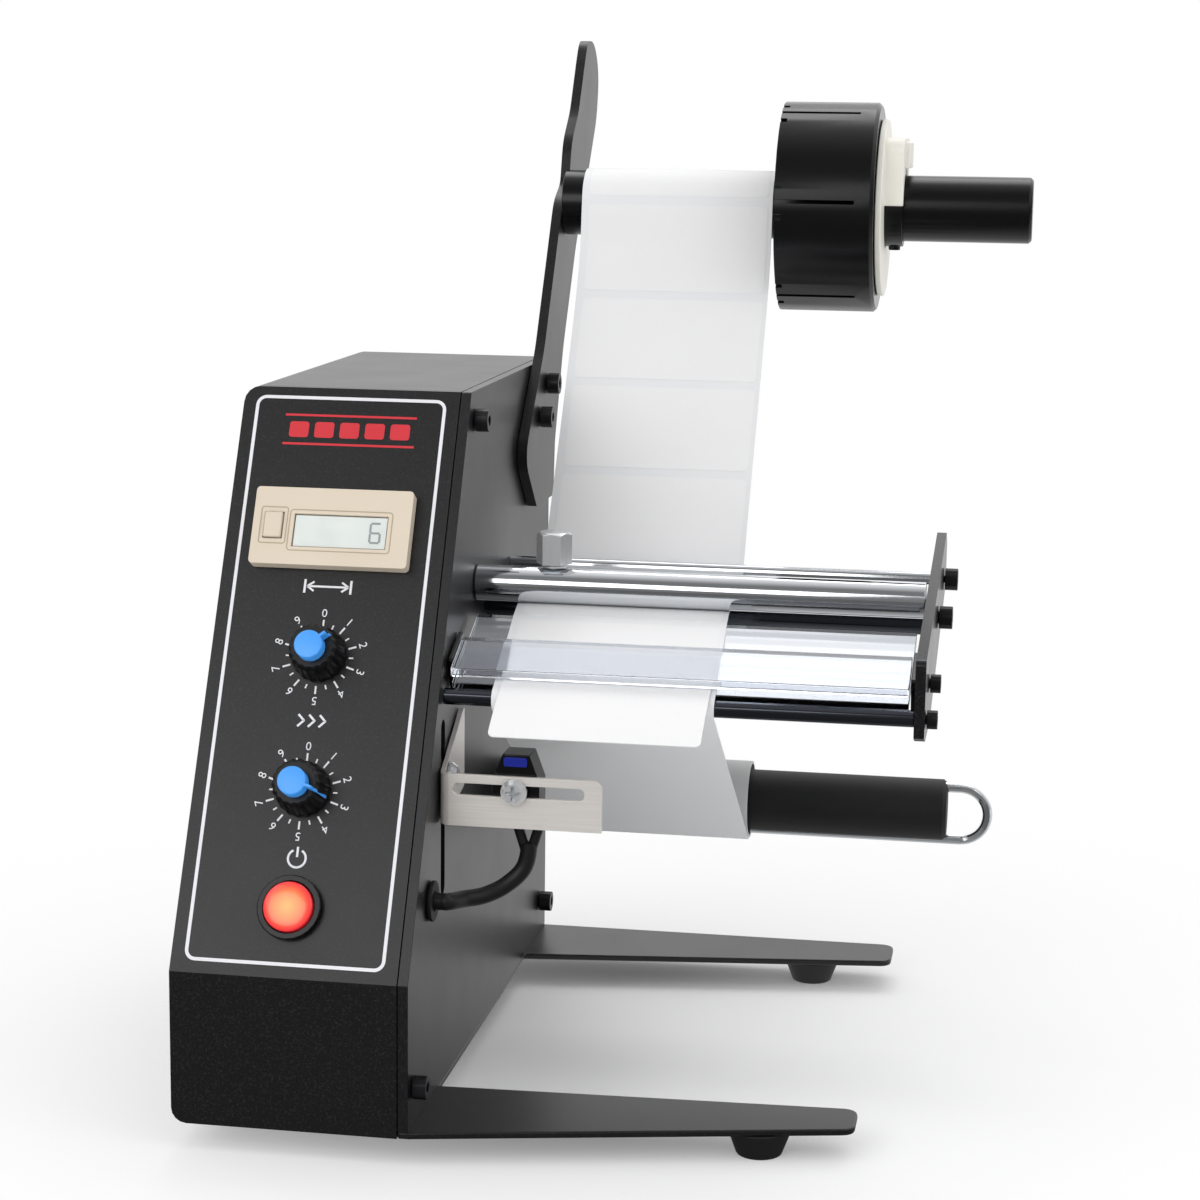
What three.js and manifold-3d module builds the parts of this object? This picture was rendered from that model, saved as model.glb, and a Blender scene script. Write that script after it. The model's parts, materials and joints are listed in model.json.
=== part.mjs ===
// Label dispenser machine: a sloped control housing, a side plate with the web path,
// a roll arm above it and a driven take-up mandrel below it.
// Millimetres, X to the right, Y to the back, Z up, standing on Z = 0.
import * as THREE from 'three';
import { mergeVertices } from 'three/addons/utils/BufferGeometryUtils.js';
import Module from 'manifold-3d';

const wasm = await Module();
wasm.setup();

// Gaps, and how far a cutter reaches past the face it cuts.
const clearance = 0.3;
const overrun = 1;

// Facet counts of round pieces.
const fineSides = 32;
const plainSides = 24;
const smallSides = 12;
const cornerSteps = 4;

// Base plate and feet.
const footHeight = 8;
const footTopRadius = 9.6;
const footTipRadius = 6.6;
const baseThickness = 2;
const armReach = 124.5;
const frontArmFront = 28.5;
const frontArmRear = 45.3;
const frontArmRootRear = 39.7;
const rearArmFront = 189.5;
const rearArmRear = 209;
const rearArmRootFront = 171.8;
const armCornerRadius = 4;
const footInset = 27.5;
const frontFootY = 31;
const rearFootY = 196;
const leftFootInset = 33;

// Side plate, housing cover and front panel.
const plateThickness = 3;
const housingWidth = 66.7;
const housingDepth = 208;
const housingTop = 213;
const frontHeight = 53.35;
const panelTilt = 26.89;
const sheet = 1.5;
const panelThickness = 2;
const housingCorner = 4.5;
const returnFlange = 5.7;
const slotWidth = 5;
const slotY = 43.7;
const slotBottom = 67.8;
const slotTop = 120.7;
const plateCorner = 1.2;

// Screws: socket-head sizes in use on the machine.
const m4HeadRadius = 3.5;
const m4HeadHeight = 4;
const m4Radius = 2;
const m4Socket = 3;
const m3HeadRadius = 2.75;
const m3HeadHeight = 3;
const m3Radius = 1.5;
const m3Socket = 2.5;
const socketDepthShare = 0.55;
const sideScrewLength = 8;
const sideScrewTopY = 87;
const sideScrewTopDrop = 9;
const sideScrewFrontY = 6.5;
const sideScrewRearInset = 10;
const sideScrewLift = 11.5;

// Roll arm, shaft, core hub and its lock.
const armThickness = 3.2;
const shaftRadius = 11;
const shaftLength = 158.5;
const shaftSpigot = 3;
const hubRadius = 35;
const hubLength = 32.4;
const hubWall = 2.6;
const hubStart = 78.8;
const hubSleeve = 3;
const hubRim = 2.2;
const hubRibCount = 6;
const hubRib = 2;
const slitWidth = 1.3;
const slitPhase = -4.4;
const slitEnd = 4;
const notchWidth = 2;
const notchDepth = 2.2;
const notchOffset = 5.2;
const collarRadius = 12.8;
const collarLength = 8;
const setScrewRadius = 2;
const setScrewProud = 1.2;
const lockDiscRadius = 29.5;
const lockDiscThickness = 2;
const lockBlockWidth = 31;
const lockBlockHeight = 22.3;
const lockBlockLift = 1.2;
const lockBlockLength = 8.3;
const lockBlockCorner = 5;
const lockLip = 1.6;
const lockLipWidth = 20;
const lockLipHeight = 8.5;
const lockLipDrop = 1.5;

// Guide group: cross rods, clear plates and the end plate.
const rodSpan = 137.2;
const thinRodRadius = 2;
const thinRodY = 140;
const thinRodZ = 152.2;
const chromeRodRadius = 5.5;
const chromeRodY = 90;
const chromeRodZ = 153.8;
const guideBarRadius = 5.6;
const guideBarY = 105.2;
const guideBarZ = 146.2;
const peelBarRadius = 2.5;
const peelBarY = 43.8;
const peelBarZ = 127.8;
const peelLead = 3;
const guideTilt = 21.4;
const acrylic = 3;
const lowerPlateDepth = 38.6;
const upperStripDepth = 17.5;
const guideBlockThickness = 1.5;
const webSlot = 2;
const endPlateThickness = 3;
const endPlateHeight = 44.5;
const endPlateDepth = 118;
const endPlateY = 36;
const endPlateZ = 121.5;
const endPlateShares = [
  [0, 0.05, 0.04], [0, 0.55, 0.05], [0.945, 1, 0.025], [1, 0.9, 0.02], [0.985, 0.6, 0.1],
  [0.28, 0, 0.1], [0.06, 0, 0.04],
];
const thinScrewRadius = 1.2;
const endScrewBlockU = 13.8;
const endScrewDepth = 7;
const thumbX = 24;
const thumbAcross = 9.6;
const thumbHeight = 9.8;
const thumbNeckRadius = 2.4;
const thumbNeckHeight = 0.4;
const thumbSeatRadius = 4;
const thumbSeatHeight = 0.6;
const thumbStemRadius = 1.5;
const thumbStemLength = 5;
const thumbChamfer = 0.6;

// Roll arm outline: shares of its height and depth, with a corner radius share.
const armHeight = 154.5;
const armDepth = 134.5;
const rollArmY = 146.5;
const armScrewZ = 206;
const armScrewShare = 0.256;
const rollArmZ = armScrewZ - armScrewShare * armHeight;
const onArm = (depthShare, heightShare) => [
  rollArmY + depthShare * armDepth, rollArmZ + heightShare * armHeight];
const [shaftY, shaftZ] = onArm(0.524, 0.6407);
const armScrewUpper = onArm(0.286, armScrewShare);
const armScrewLower = onArm(0.197, 0.191);
const rollArmShares = [
  [0.16, 0, 0.01], [0, 0.121, 0.05], [0.239, 0.331, 0.3], [0.379, 0.518, 0.2],
  [0.472, 0.644, 0.1], [0.561, 0.68, 0.04], [0.595, 0.773, 0.1], [0.69, 0.838, 0.15],
  [0.78, 0.955, 0.2], [0.82, 1, 0.06], [0.92, 1, 0.1], [1, 0.93, 0.12],
  [0.97, 0.825, 0.15], [0.86, 0.715, 0.2], [0.673, 0.54, 0.3], [0.502, 0.32, 0.3],
  [0.398, 0.12, 0.1], [0.383, 0, 0.01],
];

// Web: carrier strip, labels and the wound strip.
const linerWidth = 65;
const linerStart = 15;
const linerThickness = 0.4;
const labelWidth = 61;
const labelShift = 0.5;
const labelPitch = 33;
const labelGap = 3;
const labelThickness = 0.2;
const labelBite = 0.1;
const labelPhase = 8;
const webDrift = 4;
const webRise = 0.25;
const webTailAngle = -25;
const woundThickness = 0.9;
const dispensedLength = 29;
const dispensedHold = 4;
const dispensedThickness = 0.4;
const dispensedCorner = 1.4;
const dispensedDroop = 34;
const dispensedGap = 0.3;

// Take-up mandrel and wire clip.
const mandrelY = 145;
const mandrelZ = 76;
const mandrelRadius = 9.8;
const mandrelLength = 142.5;
const mandrelEndRound = 1.2;
const wireRadius = 1.6;
const clipUpperOffset = 7.4;
const clipLowerOffset = 9.7;
const clipUpperDepth = 58;
const clipReach = 126;
const clipStandoff = 4.4;
const spigotRadius = 4;
const spigotLength = 18;
const bushRadius = 7;
const bushFlangeRadius = 9;
const bushFlange = 1.6;
const gearboxWidth = 38;
const gearboxHeight = 42;
const gearboxLength = 20;
const gearboxGap = 1.2;
const motorRadius = 15;
const motorLength = 26;

// Controls on the sloped face: distances up the slope from its foot.
const counterX = -37;
const counterS = 133.5;
const counterWidth = 48;
const counterHeight = 24;
const bezelHeight = 4.2;
const bezelCorner = 1.2;
const counterCutWidth = 45;
const counterCutHeight = 22.2;
const counterDepth = 32;
const windowWidth = 28;
const windowHeight = 9.7;
const windowShift = 2.8;
const windowDrop = 1.3;
const windowThickness = 1.4;
const resetWidth = 5.3;
const resetHeight = 7.7;
const resetShift = 17.6;
const resetProud = 1;
const resetTravel = 0.8;
const dialX = -37;
const lengthDialS = 95.2;
const speedDialS = 54.8;
const knobRadius = 8.2;
const knobHeight = 9.5;
const knobTopRadius = 6.4;
const knobFlutes = 18;
const knobFlute = 0.45;
const capRadius = 4.2;
const capHeight = 4;
const capTailLength = 6;
const capTailWidth = 1.5;
const potBushRadius = 3.5;
const potBushLength = 6;
const potShaftRadius = 3;
const potBodyRadius = 8;
const potBodyLength = 9;
const lengthKnobTurn = -50;
const speedKnobTurn = -105;
const powerX = -36.5;
const powerS = 20.1;
const switchBezelRadius = 9.4;
const switchBezelHeight = 2.4;
const switchBodyRadius = 8;
const switchBodyLength = 24;
const buttonRadius = 7.2;
const buttonHeight = 3.6;
const buttonTravel = 2;

// Label sensor and its bracket.
const bracketThickness = 1.5;
const bracketY = 36.5;
const bracketLength = 48.2;
const bracketBottom = 91;
const bracketHeight = 15.4;
const bracketBend = 3;
const bracketDepth = 28.5;
const bracketRearHeight = 27.8;
const bracketRearBottom = 96;
const bracketSlotWidth = 3.6;
const bracketSlotStart = 4.4;
const bracketSlotEnd = 43.4;
const bracketSlotZ = 102;
const bracketCorner = 2.4;
const sensorX = 22.8;
const sensorFoot = 14;
const sensorTop = 8;
const sensorDepth = 10;
const sensorHeight = 20;
const sensorShoulder = 12;
const sensorZ = 92.6;
const sensorScrewRadius = 1.5;
const panHeadRadius = 3.9;
const panHeadHeight = 2.4;
const crossLength = 4.2;
const crossWidth = 1.1;
const crossDepth = 1.3;
const sensorWindowWidth = 7;
const sensorWindowHeight = 2.8;
const sensorWindowThickness = 0.5;
const sensorWindowDrop = 0.7;
const cableRadius = 2.5;
const branchRadius = 1.5;
const branchSpread = 3.4;
const branchDrop = 5;
const cableShift = 3;
const grommetRadius = 5;
const grommetFlange = 1.2;
const grommetLip = 1;
const cableHoleY = 27.5;
const cableHoleZ = 70.5;
const cableTail = 7;

// Inside and at the back.
const boardWidth = 44;
const boardDepth = 70;
const boardThickness = 1.6;
const boardLift = 12;
const boardY = 26;
const partHeight = 9;
const supplyWidth = 48;
const supplyDepth = 62;
const supplyHeight = 34;
const supplyY = 118;
const postRadius = 3;
const inletX = -37;
const inletZ = 52;
const inletWidth = 48;
const inletHeight = 28;
const inletFlange = 2.4;
const inletBodyWidth = 44;
const inletBodyHeight = 24;
const inletBodyDepth = 24;
const socketWidth = 24;
const socketHeight = 16;
const socketDepth = 17;

// Derived places.
const weld = 1e-4;
const plateLeft = -plateThickness;
const housingRight = plateLeft - clearance;
const housingLeft = housingRight - housingWidth;
const baseTop = footHeight + baseThickness;
const tilt = THREE.MathUtils.degToRad(panelTilt);
const slopeRise = housingTop - frontHeight;
const slopeTopY = slopeRise * Math.tan(tilt);
const slopeLength = slopeRise / Math.cos(tilt);
const guideAngle = THREE.MathUtils.degToRad(guideTilt);

// Finishes.
const finish = (color, roughness, metalness, opacity = 1) =>
  new THREE.MeshStandardMaterial({
    color, roughness, metalness, opacity, transparent: opacity < 1,
  });
const blackCoat = finish(0x2b2a30, 0.62, 0.2);
const blackPlastic = finish(0x17171a, 0.4, 0);
const rubber = finish(0x141416, 0.85, 0);
const blackScrew = finish(0x1c1c20, 0.45, 0.6);
const steel = finish(0xd8d2c8, 0.32, 0.95);
const darkSteel = finish(0x3c4048, 0.18, 0.9);
const chrome = finish(0xe8eaee, 0.08, 1);
const cream = finish(0xe9e4d3, 0.5, 0);
const beige = finish(0xd9c6ae, 0.5, 0);
const displayGrey = finish(0xdfe6e3, 0.25, 0);
const clearSheet = finish(0xe6f0f6, 0.05, 0, 0.3);
const blueCap = finish(0x4a9be8, 0.35, 0);
const orangeLens = finish(0xf6673d, 0.2, 0);
const whitePaper = finish(0xf2f2f0, 0.7, 0);
const linerPaper = finish(0xd6d8d8, 0.55, 0);
const boardGreen = finish(0x2c6b46, 0.55, 0);
const caseSilver = finish(0xb9bcc0, 0.4, 0.8);

const machine = new THREE.Group();
const controlFace = new THREE.Group();
controlFace.position.set(0, 0, frontHeight);
controlFace.rotation.x = Math.PI / 2 - tilt;
machine.add(controlFace);

// A closed geometry as a solid, with its faces turned outward.
function solidOf(geometry) {
  const bare = geometry.index ? geometry.toNonIndexed() : geometry.clone();
  bare.deleteAttribute('normal');
  bare.deleteAttribute('uv');
  const merged = mergeVertices(bare, weld);
  const from = merged.index.array;
  const kept = [];
  for (let i = 0; i < from.length; i += 3) {
    const [a, b, c] = [from[i], from[i + 1], from[i + 2]];
    if (a !== b && b !== c && a !== c) kept.push(a, b, c);
  }
  const build = (indices) => new wasm.Manifold(new wasm.Mesh({
    numProp: 3,
    vertProperties: new Float32Array(merged.attributes.position.array),
    triVerts: new Uint32Array(indices),
  }));
  const made = build(kept);
  if (made.volume() >= 0) return made;
  const turned = kept.slice();
  for (let i = 0; i < turned.length; i += 3) {
    [turned[i + 1], turned[i + 2]] = [turned[i + 2], turned[i + 1]];
  }
  return build(turned);
}

function geometryOf(made) {
  const mesh = made.getMesh();
  const geometry = new THREE.BufferGeometry();
  const places = new Float32Array(mesh.vertProperties);
  geometry.setAttribute('position', new THREE.BufferAttribute(places, 3));
  geometry.setIndex(new THREE.BufferAttribute(new Uint32Array(mesh.triVerts), 1));
  geometry.computeVertexNormals();
  return geometry;
}

function place(name, made, material, group = machine) {
  const mesh = new THREE.Mesh(geometryOf(made), material);
  mesh.name = name;
  group.add(mesh);
  return mesh;
}

// The corners of an outline [a, b, radius] with each radius drawn as a tangent arc.
function rounded(corners, steps = cornerSteps) {
  const points = [];
  corners.forEach(([a, b, radius = 0], i) => {
    const here = new THREE.Vector2(a, b);
    const last = corners[(i + corners.length - 1) % corners.length];
    const next = corners[(i + 1) % corners.length];
    const back = new THREE.Vector2(last[0], last[1]).sub(here);
    const ahead = new THREE.Vector2(next[0], next[1]).sub(here);
    const half = Math.acos(THREE.MathUtils.clamp(
      back.clone().normalize().dot(ahead.clone().normalize()), -1, 1)) / 2;
    const room = Math.min(back.length(), ahead.length()) * 0.48;
    const trim = Math.min(radius / Math.tan(half), room);
    if (trim <= weld || half > Math.PI / 2 - weld) {
      points.push(here);
      return;
    }
    const start = here.clone().addScaledVector(back.normalize(), trim);
    const end = here.clone().addScaledVector(ahead.normalize(), trim);
    const reach = trim / Math.cos(half);
    const middle = back.clone().add(ahead).normalize();
    const centre = here.clone().addScaledVector(middle, reach);
    const from = start.clone().sub(centre);
    const to = end.clone().sub(centre);
    let sweep = to.angle() - from.angle();
    if (sweep > Math.PI) sweep -= 2 * Math.PI;
    if (sweep < -Math.PI) sweep += 2 * Math.PI;
    for (let k = 0; k <= steps; k += 1) {
      const turn = from.clone().rotateAround(new THREE.Vector2(), (sweep * k) / steps);
      points.push(turn.add(centre));
    }
  });
  return points;
}

const rectangle = (a0, a1, b0, b1, radius = 0) =>
  rounded([[a0, b0, radius], [a1, b0, radius], [a1, b1, radius], [a0, b1, radius]]);

const circle = (a, b, radius, sides = smallSides) =>
  Array.from({ length: sides }, (unused, i) => new THREE.Vector2(
    a + radius * Math.cos((2 * Math.PI * i) / sides),
    b + radius * Math.sin((2 * Math.PI * i) / sides),
  ));

// Prisms: an outline in the other two axes, drawn out between two stations.
const axisFrames = {
  x: [[0, 1, 0], [0, 0, 1], [1, 0, 0]],
  y: [[1, 0, 0], [0, 0, 1], [0, -1, 0]],
  z: [[1, 0, 0], [0, 1, 0], [0, 0, 1]],
};

function prism(axis, outline, from, to, holes = []) {
  const geometry = new THREE.ExtrudeGeometry(new THREE.Shape(outline), {
    depth: to - from, bevelEnabled: false, steps: 1,
  });
  const [a, b, c] = axisFrames[axis].map((v) => new THREE.Vector3(...v));
  const frame = new THREE.Matrix4().makeBasis(a, b, c);
  const start = axis === 'y' ? to : from;
  const shift = { x: [start, 0, 0], y: [0, start, 0], z: [0, 0, start] }[axis];
  frame.setPosition(...shift);
  return holes.reduce(
    (made, hole) => made.subtract(prism(axis, hole, from - overrun, to + overrun)),
    solidOf(geometry.applyMatrix4(frame)));
}

const block = (x0, x1, y0, y1, z0, z1) =>
  prism('z', rectangle(x0, x1, y0, y1), z0, z1);

// Turned pieces: a profile of [radius, station] round an axis along x or z.
function turned(axis, profile, a, b, sides = plainSides) {
  const points = profile.map(([radius, station]) => new THREE.Vector2(radius, station));
  const geometry = new THREE.LatheGeometry(points, sides);
  const frame = new THREE.Matrix4();
  if (axis === 'x') {
    frame.makeBasis(
      new THREE.Vector3(0, 1, 0), new THREE.Vector3(1, 0, 0), new THREE.Vector3(0, 0, -1));
    frame.setPosition(0, a, b);
  } else {
    frame.makeBasis(
      new THREE.Vector3(1, 0, 0), new THREE.Vector3(0, 0, 1), new THREE.Vector3(0, -1, 0));
    frame.setPosition(a, b, 0);
  }
  return solidOf(geometry.applyMatrix4(frame));
}

const bar = (axis, radius, from, to, a, b, sides = plainSides) =>
  turned(axis, [[0, from], [radius, from], [radius, to], [0, to]], a, b, sides);

const ring = (axis, inner, outer, from, to, a, b, sides = plainSides) =>
  turned(axis, [[inner, from], [outer, from], [outer, to], [inner, to], [inner, from]],
    a, b, sides);

const hexagon = (a, b, across) => circle(a, b, across / Math.sqrt(3), 6);

function tube(curve, radius, sides, steps) {
  const section = new THREE.Shape(circle(0, 0, radius, sides));
  return solidOf(new THREE.ExtrudeGeometry(section, {
    extrudePath: curve, steps, bevelEnabled: false,
  }));
}

// A socket-head screw along x: head outward from its seat, shank back from it.
function capScrew(seat, y, z, head, height, radius, length, socket) {
  return bar('x', head, seat, seat + height, y, z, smallSides)
    .add(bar('x', radius, seat - length, seat + overrun, y, z, smallSides))
    .subtract(prism('x', hexagon(y, z, socket),
      seat + height * (1 - socketDepthShare), seat + height + overrun));
}

// Base plate: a sheet under the housing with two tapered arms to the right.
const baseLeft = housingLeft + returnFlange + clearance;
const baseFront = panelThickness + clearance;
const baseRear = housingDepth - sheet - clearance;
const basePlate = prism('z', rounded([
  [baseLeft, baseFront], [plateLeft, baseFront], [plateLeft, 0], [0, 0],
  [armReach, frontArmFront, armCornerRadius], [armReach, frontArmRear, armCornerRadius],
  [0, frontArmRootRear], [0, rearArmRootFront],
  [armReach, rearArmFront, armCornerRadius], [armReach, rearArmRear, armCornerRadius],
  [0, housingDepth], [plateLeft, housingDepth], [plateLeft, baseRear], [baseLeft, baseRear],
]), footHeight, baseTop);
place('base_plate', basePlate, blackCoat);

const footPlaces = {
  foot_front_right: [armReach - footInset, frontFootY],
  foot_rear_right: [armReach - footInset, rearFootY],
  foot_front_left: [housingLeft + leftFootInset, frontFootY],
  foot_rear_left: [housingLeft + leftFootInset, rearFootY],
};
for (const [name, [x, y]] of Object.entries(footPlaces)) {
  place(name, turned('z', [
    [0, 0], [footTipRadius, 0], [footTopRadius, footHeight], [0, footHeight],
  ], x, y), rubber);
}

// Side plate with its slot, the mandrel's bush hole, the cable hole and screw holes.
const plateOutline = rounded([
  [0, baseTop], [housingDepth, baseTop], [housingDepth, housingTop, plateCorner],
  [slopeTopY, housingTop, plateCorner], [0, frontHeight, plateCorner],
]);
const screwHole = m4Radius + clearance;
const topScrewZ = housingTop - sideScrewTopDrop;
const lowScrewZ = baseTop + sideScrewLift;
const sideScrews = {
  side_plate_screw_top: [sideScrewTopY, topScrewZ],
  side_plate_screw_rear: [housingDepth - sideScrewRearInset, lowScrewZ],
  side_plate_screw_front: [sideScrewFrontY, lowScrewZ],
};
const armScrews = {
  arm_screw_upper: armScrewUpper,
  arm_screw_lower: armScrewLower,
};
const slotOutline = rectangle(slotY - slotWidth / 2, slotY + slotWidth / 2,
  slotBottom, slotTop, slotWidth / 2);
const plateHoles = [
  slotOutline,
  circle(mandrelY, mandrelZ, bushRadius + clearance, plainSides),
  circle(cableHoleY, cableHoleZ, grommetRadius + clearance, plainSides),
  ...Object.values(sideScrews).map(([y, z]) => circle(y, z, screwHole)),
  ...Object.values(armScrews).map(([y, z]) => circle(y, z, screwHole)),
];
place('side_plate', prism('x', plateOutline, plateLeft, 0, plateHoles), blackCoat);

for (const [name, [y, z]] of Object.entries(sideScrews)) {
  place(name, capScrew(clearance, y, z, m4HeadRadius, m4HeadHeight, m4Radius,
    sideScrewLength, m4Socket), blackScrew);
}

// Front panel: a vertical foot folded into the sloped control face.
const faceNormalY = Math.cos(tilt);
// The folded line moved inward by inset: its bend, and its end at the housing's top.
const slopeProfile = (inset) => ({
  bend: [inset, frontHeight - (inset / faceNormalY - inset) / Math.tan(tilt)],
  top: [(housingTop - frontHeight) * Math.tan(tilt) + inset / faceNormalY, housingTop],
});
const outerFold = slopeProfile(0);
const innerFold = slopeProfile(panelThickness);
const coverFold = slopeProfile(panelThickness + clearance);
const cornerFrame = rectangle(housingLeft, housingRight + housingCorner * 2, footHeight,
  housingTop, housingCorner);
const wrap = (made, far) => made.intersect(prism('y', cornerFrame, -overrun, far));
const panelFoot = footHeight;
const counterCut = rectangle(counterX - counterCutWidth / 2, counterX + counterCutWidth / 2,
  counterS - counterCutHeight / 2, counterS + counterCutHeight / 2);
const faceCuts = [
  counterCut,
  circle(dialX, lengthDialS, potBushRadius + clearance),
  circle(dialX, speedDialS, potBushRadius + clearance),
  circle(powerX, powerS, switchBodyRadius + clearance, plainSides),
];
// A solid made in the control face's own axes, turned into the machine's.
const onFace = (made) => {
  const geometry = geometryOf(made);
  const frame = new THREE.Matrix4().makeRotationX(controlFace.rotation.x);
  frame.setPosition(0, 0, frontHeight);
  return solidOf(geometry.applyMatrix4(frame));
};
let frontPanel = wrap(prism('x', rounded([
  [0, panelFoot], [panelThickness, panelFoot], innerFold.bend, innerFold.top,
  outerFold.top, outerFold.bend,
]), housingLeft, housingRight), housingDepth);
for (const outline of faceCuts) {
  frontPanel = frontPanel.subtract(
    onFace(prism('z', outline, -panelThickness * 2, overrun)));
}
place('front_panel', frontPanel, blackCoat);

// Housing cover: top, left side and back in one folded sheet, open to the side plate.
const inletCut = rectangle(inletX - inletBodyWidth / 2 - clearance,
  inletX + inletBodyWidth / 2 + clearance, inletZ - inletBodyHeight / 2 - clearance,
  inletZ + inletBodyHeight / 2 + clearance);
const coverOuter = wrap(prism('x', rounded([
  [coverFold.bend[0], footHeight], [housingDepth, footHeight],
  [housingDepth, housingTop, plateCorner], coverFold.top, coverFold.bend,
]), housingLeft, housingRight), housingDepth + overrun);
const innerLeft = housingLeft + sheet;
const innerFrame = rectangle(innerLeft, housingRight + housingCorner * 2,
  footHeight + sheet, housingTop - sheet, housingCorner - sheet);
const coverInner = prism('y', innerFrame, -overrun, housingDepth - sheet)
  .intersect(block(innerLeft - overrun, housingRight + overrun, -overrun,
    housingDepth + overrun, -overrun, housingTop + overrun));
const coverFloor = block(housingLeft + returnFlange, housingRight + overrun, -overrun,
  housingDepth - sheet, footHeight - overrun, footHeight + housingCorner);
const cover = coverOuter.subtract(coverInner).subtract(coverFloor)
  .subtract(prism('y', inletCut, housingDepth - sheet - overrun, housingDepth + overrun));
place('housing_cover', cover, blackCoat);

// Roll arm: a curved plate that stands on the side plate and holds the roll shaft.
const armOutline = rounded(rollArmShares.map(([y, z, radius]) => [
  rollArmY + y * armDepth, rollArmZ + z * armHeight, radius * armHeight,
]));
const armFace = clearance + armThickness;

place('roll_arm', prism('x', armOutline, clearance, armFace, [
  circle(shaftY, shaftZ, shaftSpigot + clearance, plainSides),
  ...Object.values(armScrews).map(([y, z]) => circle(y, z, screwHole)),
]), blackCoat);
for (const [name, [y, z]] of Object.entries(armScrews)) {
  place(name, capScrew(armFace + clearance, y, z, m4HeadRadius, m4HeadHeight, m4Radius,
    sideScrewLength + armThickness, m4Socket), blackScrew);
}
const shaftStart = armFace + clearance;
const shaftEnd = shaftStart + shaftLength;
place('roll_shaft', turned('x', [
  [0, clearance], [shaftSpigot, clearance], [shaftSpigot, shaftStart],
  [shaftRadius, shaftStart], [shaftRadius, shaftEnd - overrun],
  [shaftRadius - overrun, shaftEnd], [0, shaftEnd],
], shaftY, shaftZ, fineSides), blackPlastic);

// Core hub: a slit drum on ribs round a sleeve that runs on the shaft.
const hubEnd = hubStart + hubLength;
const hubBore = shaftRadius + clearance * 2;
const hubInner = hubRadius - hubWall;
let hub = ring('x', hubInner, hubRadius, hubStart, hubEnd - hubRim, shaftY, shaftZ,
  fineSides)
  .add(turned('x', [
    [hubBore, hubEnd - hubRim * 2], [hubRadius, hubEnd - hubRim * 2],
    [hubRadius, hubEnd - hubRim / 2], [hubRadius - hubRim / 2, hubEnd],
    [hubBore, hubEnd], [hubBore, hubEnd - hubRim * 2],
  ], shaftY, shaftZ, fineSides))
  .add(ring('x', hubBore, hubBore + hubSleeve, hubStart, hubEnd - overrun, shaftY,
    shaftZ, fineSides));
const turnedAbout = (made, angle, y, z) => made.translate([0, -y, -z])
  .rotate([angle, 0, 0]).translate([0, y, z]);
for (let i = 0; i < hubRibCount; i += 1) {
  const angle = (360 / hubRibCount) * i;
  const rib = block(hubStart + notchDepth, hubEnd - hubRim, shaftY - hubRib / 2,
    shaftY + hubRib / 2, shaftZ + hubBore + hubSleeve / 2, shaftZ + hubInner + hubWall / 2);
  hub = hub.add(turnedAbout(rib, angle + 180 / hubRibCount + slitPhase + 90, shaftY, shaftZ));
}
for (let i = 0; i < hubRibCount; i += 1) {
  const angle = (360 / hubRibCount) * i + slitPhase + 90;
  const outside = [shaftZ + hubInner - overrun, shaftZ + hubRadius + overrun];
  const slit = block(hubStart - overrun, hubEnd - slitEnd - hubRim, shaftY - slitWidth / 2,
    shaftY + slitWidth / 2, ...outside);
  hub = hub.subtract(turnedAbout(slit, angle, shaftY, shaftZ));
  for (const side of [-notchOffset, notchOffset]) {
    const notch = block(hubStart - overrun, hubStart + notchDepth,
      shaftY + side - notchWidth / 2, shaftY + side + notchWidth / 2, ...outside);
    hub = hub.subtract(turnedAbout(notch, angle, shaftY, shaftZ));
  }
}
place('roll_hub', hub, blackPlastic);

// Collar with its set screw, and the lock plate that turns round the collar.
const collarStart = hubEnd + clearance;
const collarEnd = collarStart + collarLength;
const collarBore = shaftRadius + clearance;
const collar = ring('x', collarBore, collarRadius, collarStart, collarEnd, shaftY, shaftZ,
  fineSides)
  .add(bar('z', setScrewRadius, shaftZ - collarRadius - setScrewProud,
    shaftZ - collarRadius + overrun / 2, collarEnd - setScrewRadius - overrun, shaftY,
    smallSides));
place('hub_collar', collar, blackPlastic);
const lockBore = collarRadius + clearance;
const lockFace = collarStart + lockDiscThickness;
const lockBottom = shaftZ + lockBlockLift;
const lockTop = lockBottom + lockBlockHeight;
const lockPlate = ring('x', lockBore, lockDiscRadius, collarStart, lockFace, shaftY, shaftZ,
  fineSides)
  .add(prism('x', rounded([
    [shaftY - lockBlockWidth / 2, lockBottom, overrun],
    [shaftY + lockBlockWidth / 2, lockBottom, overrun],
    [shaftY + lockBlockWidth / 2, lockTop, lockBlockCorner],
    [shaftY - lockBlockWidth / 2, lockTop, lockBlockCorner],
  ]), collarStart, collarStart + lockBlockLength))
  .add(block(collarStart, collarStart + lockBlockLength + lockLip,
    shaftY - lockLipWidth / 2, shaftY + lockLipWidth / 2,
    lockTop - lockLipDrop - lockLipHeight, lockTop - lockLipDrop))
  .subtract(bar('x', lockBore, collarStart - overrun, collarEnd + lockLip * 2, shaftY,
    shaftZ, fineSides));
place('hub_lock_plate', lockPlate, cream);

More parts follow.
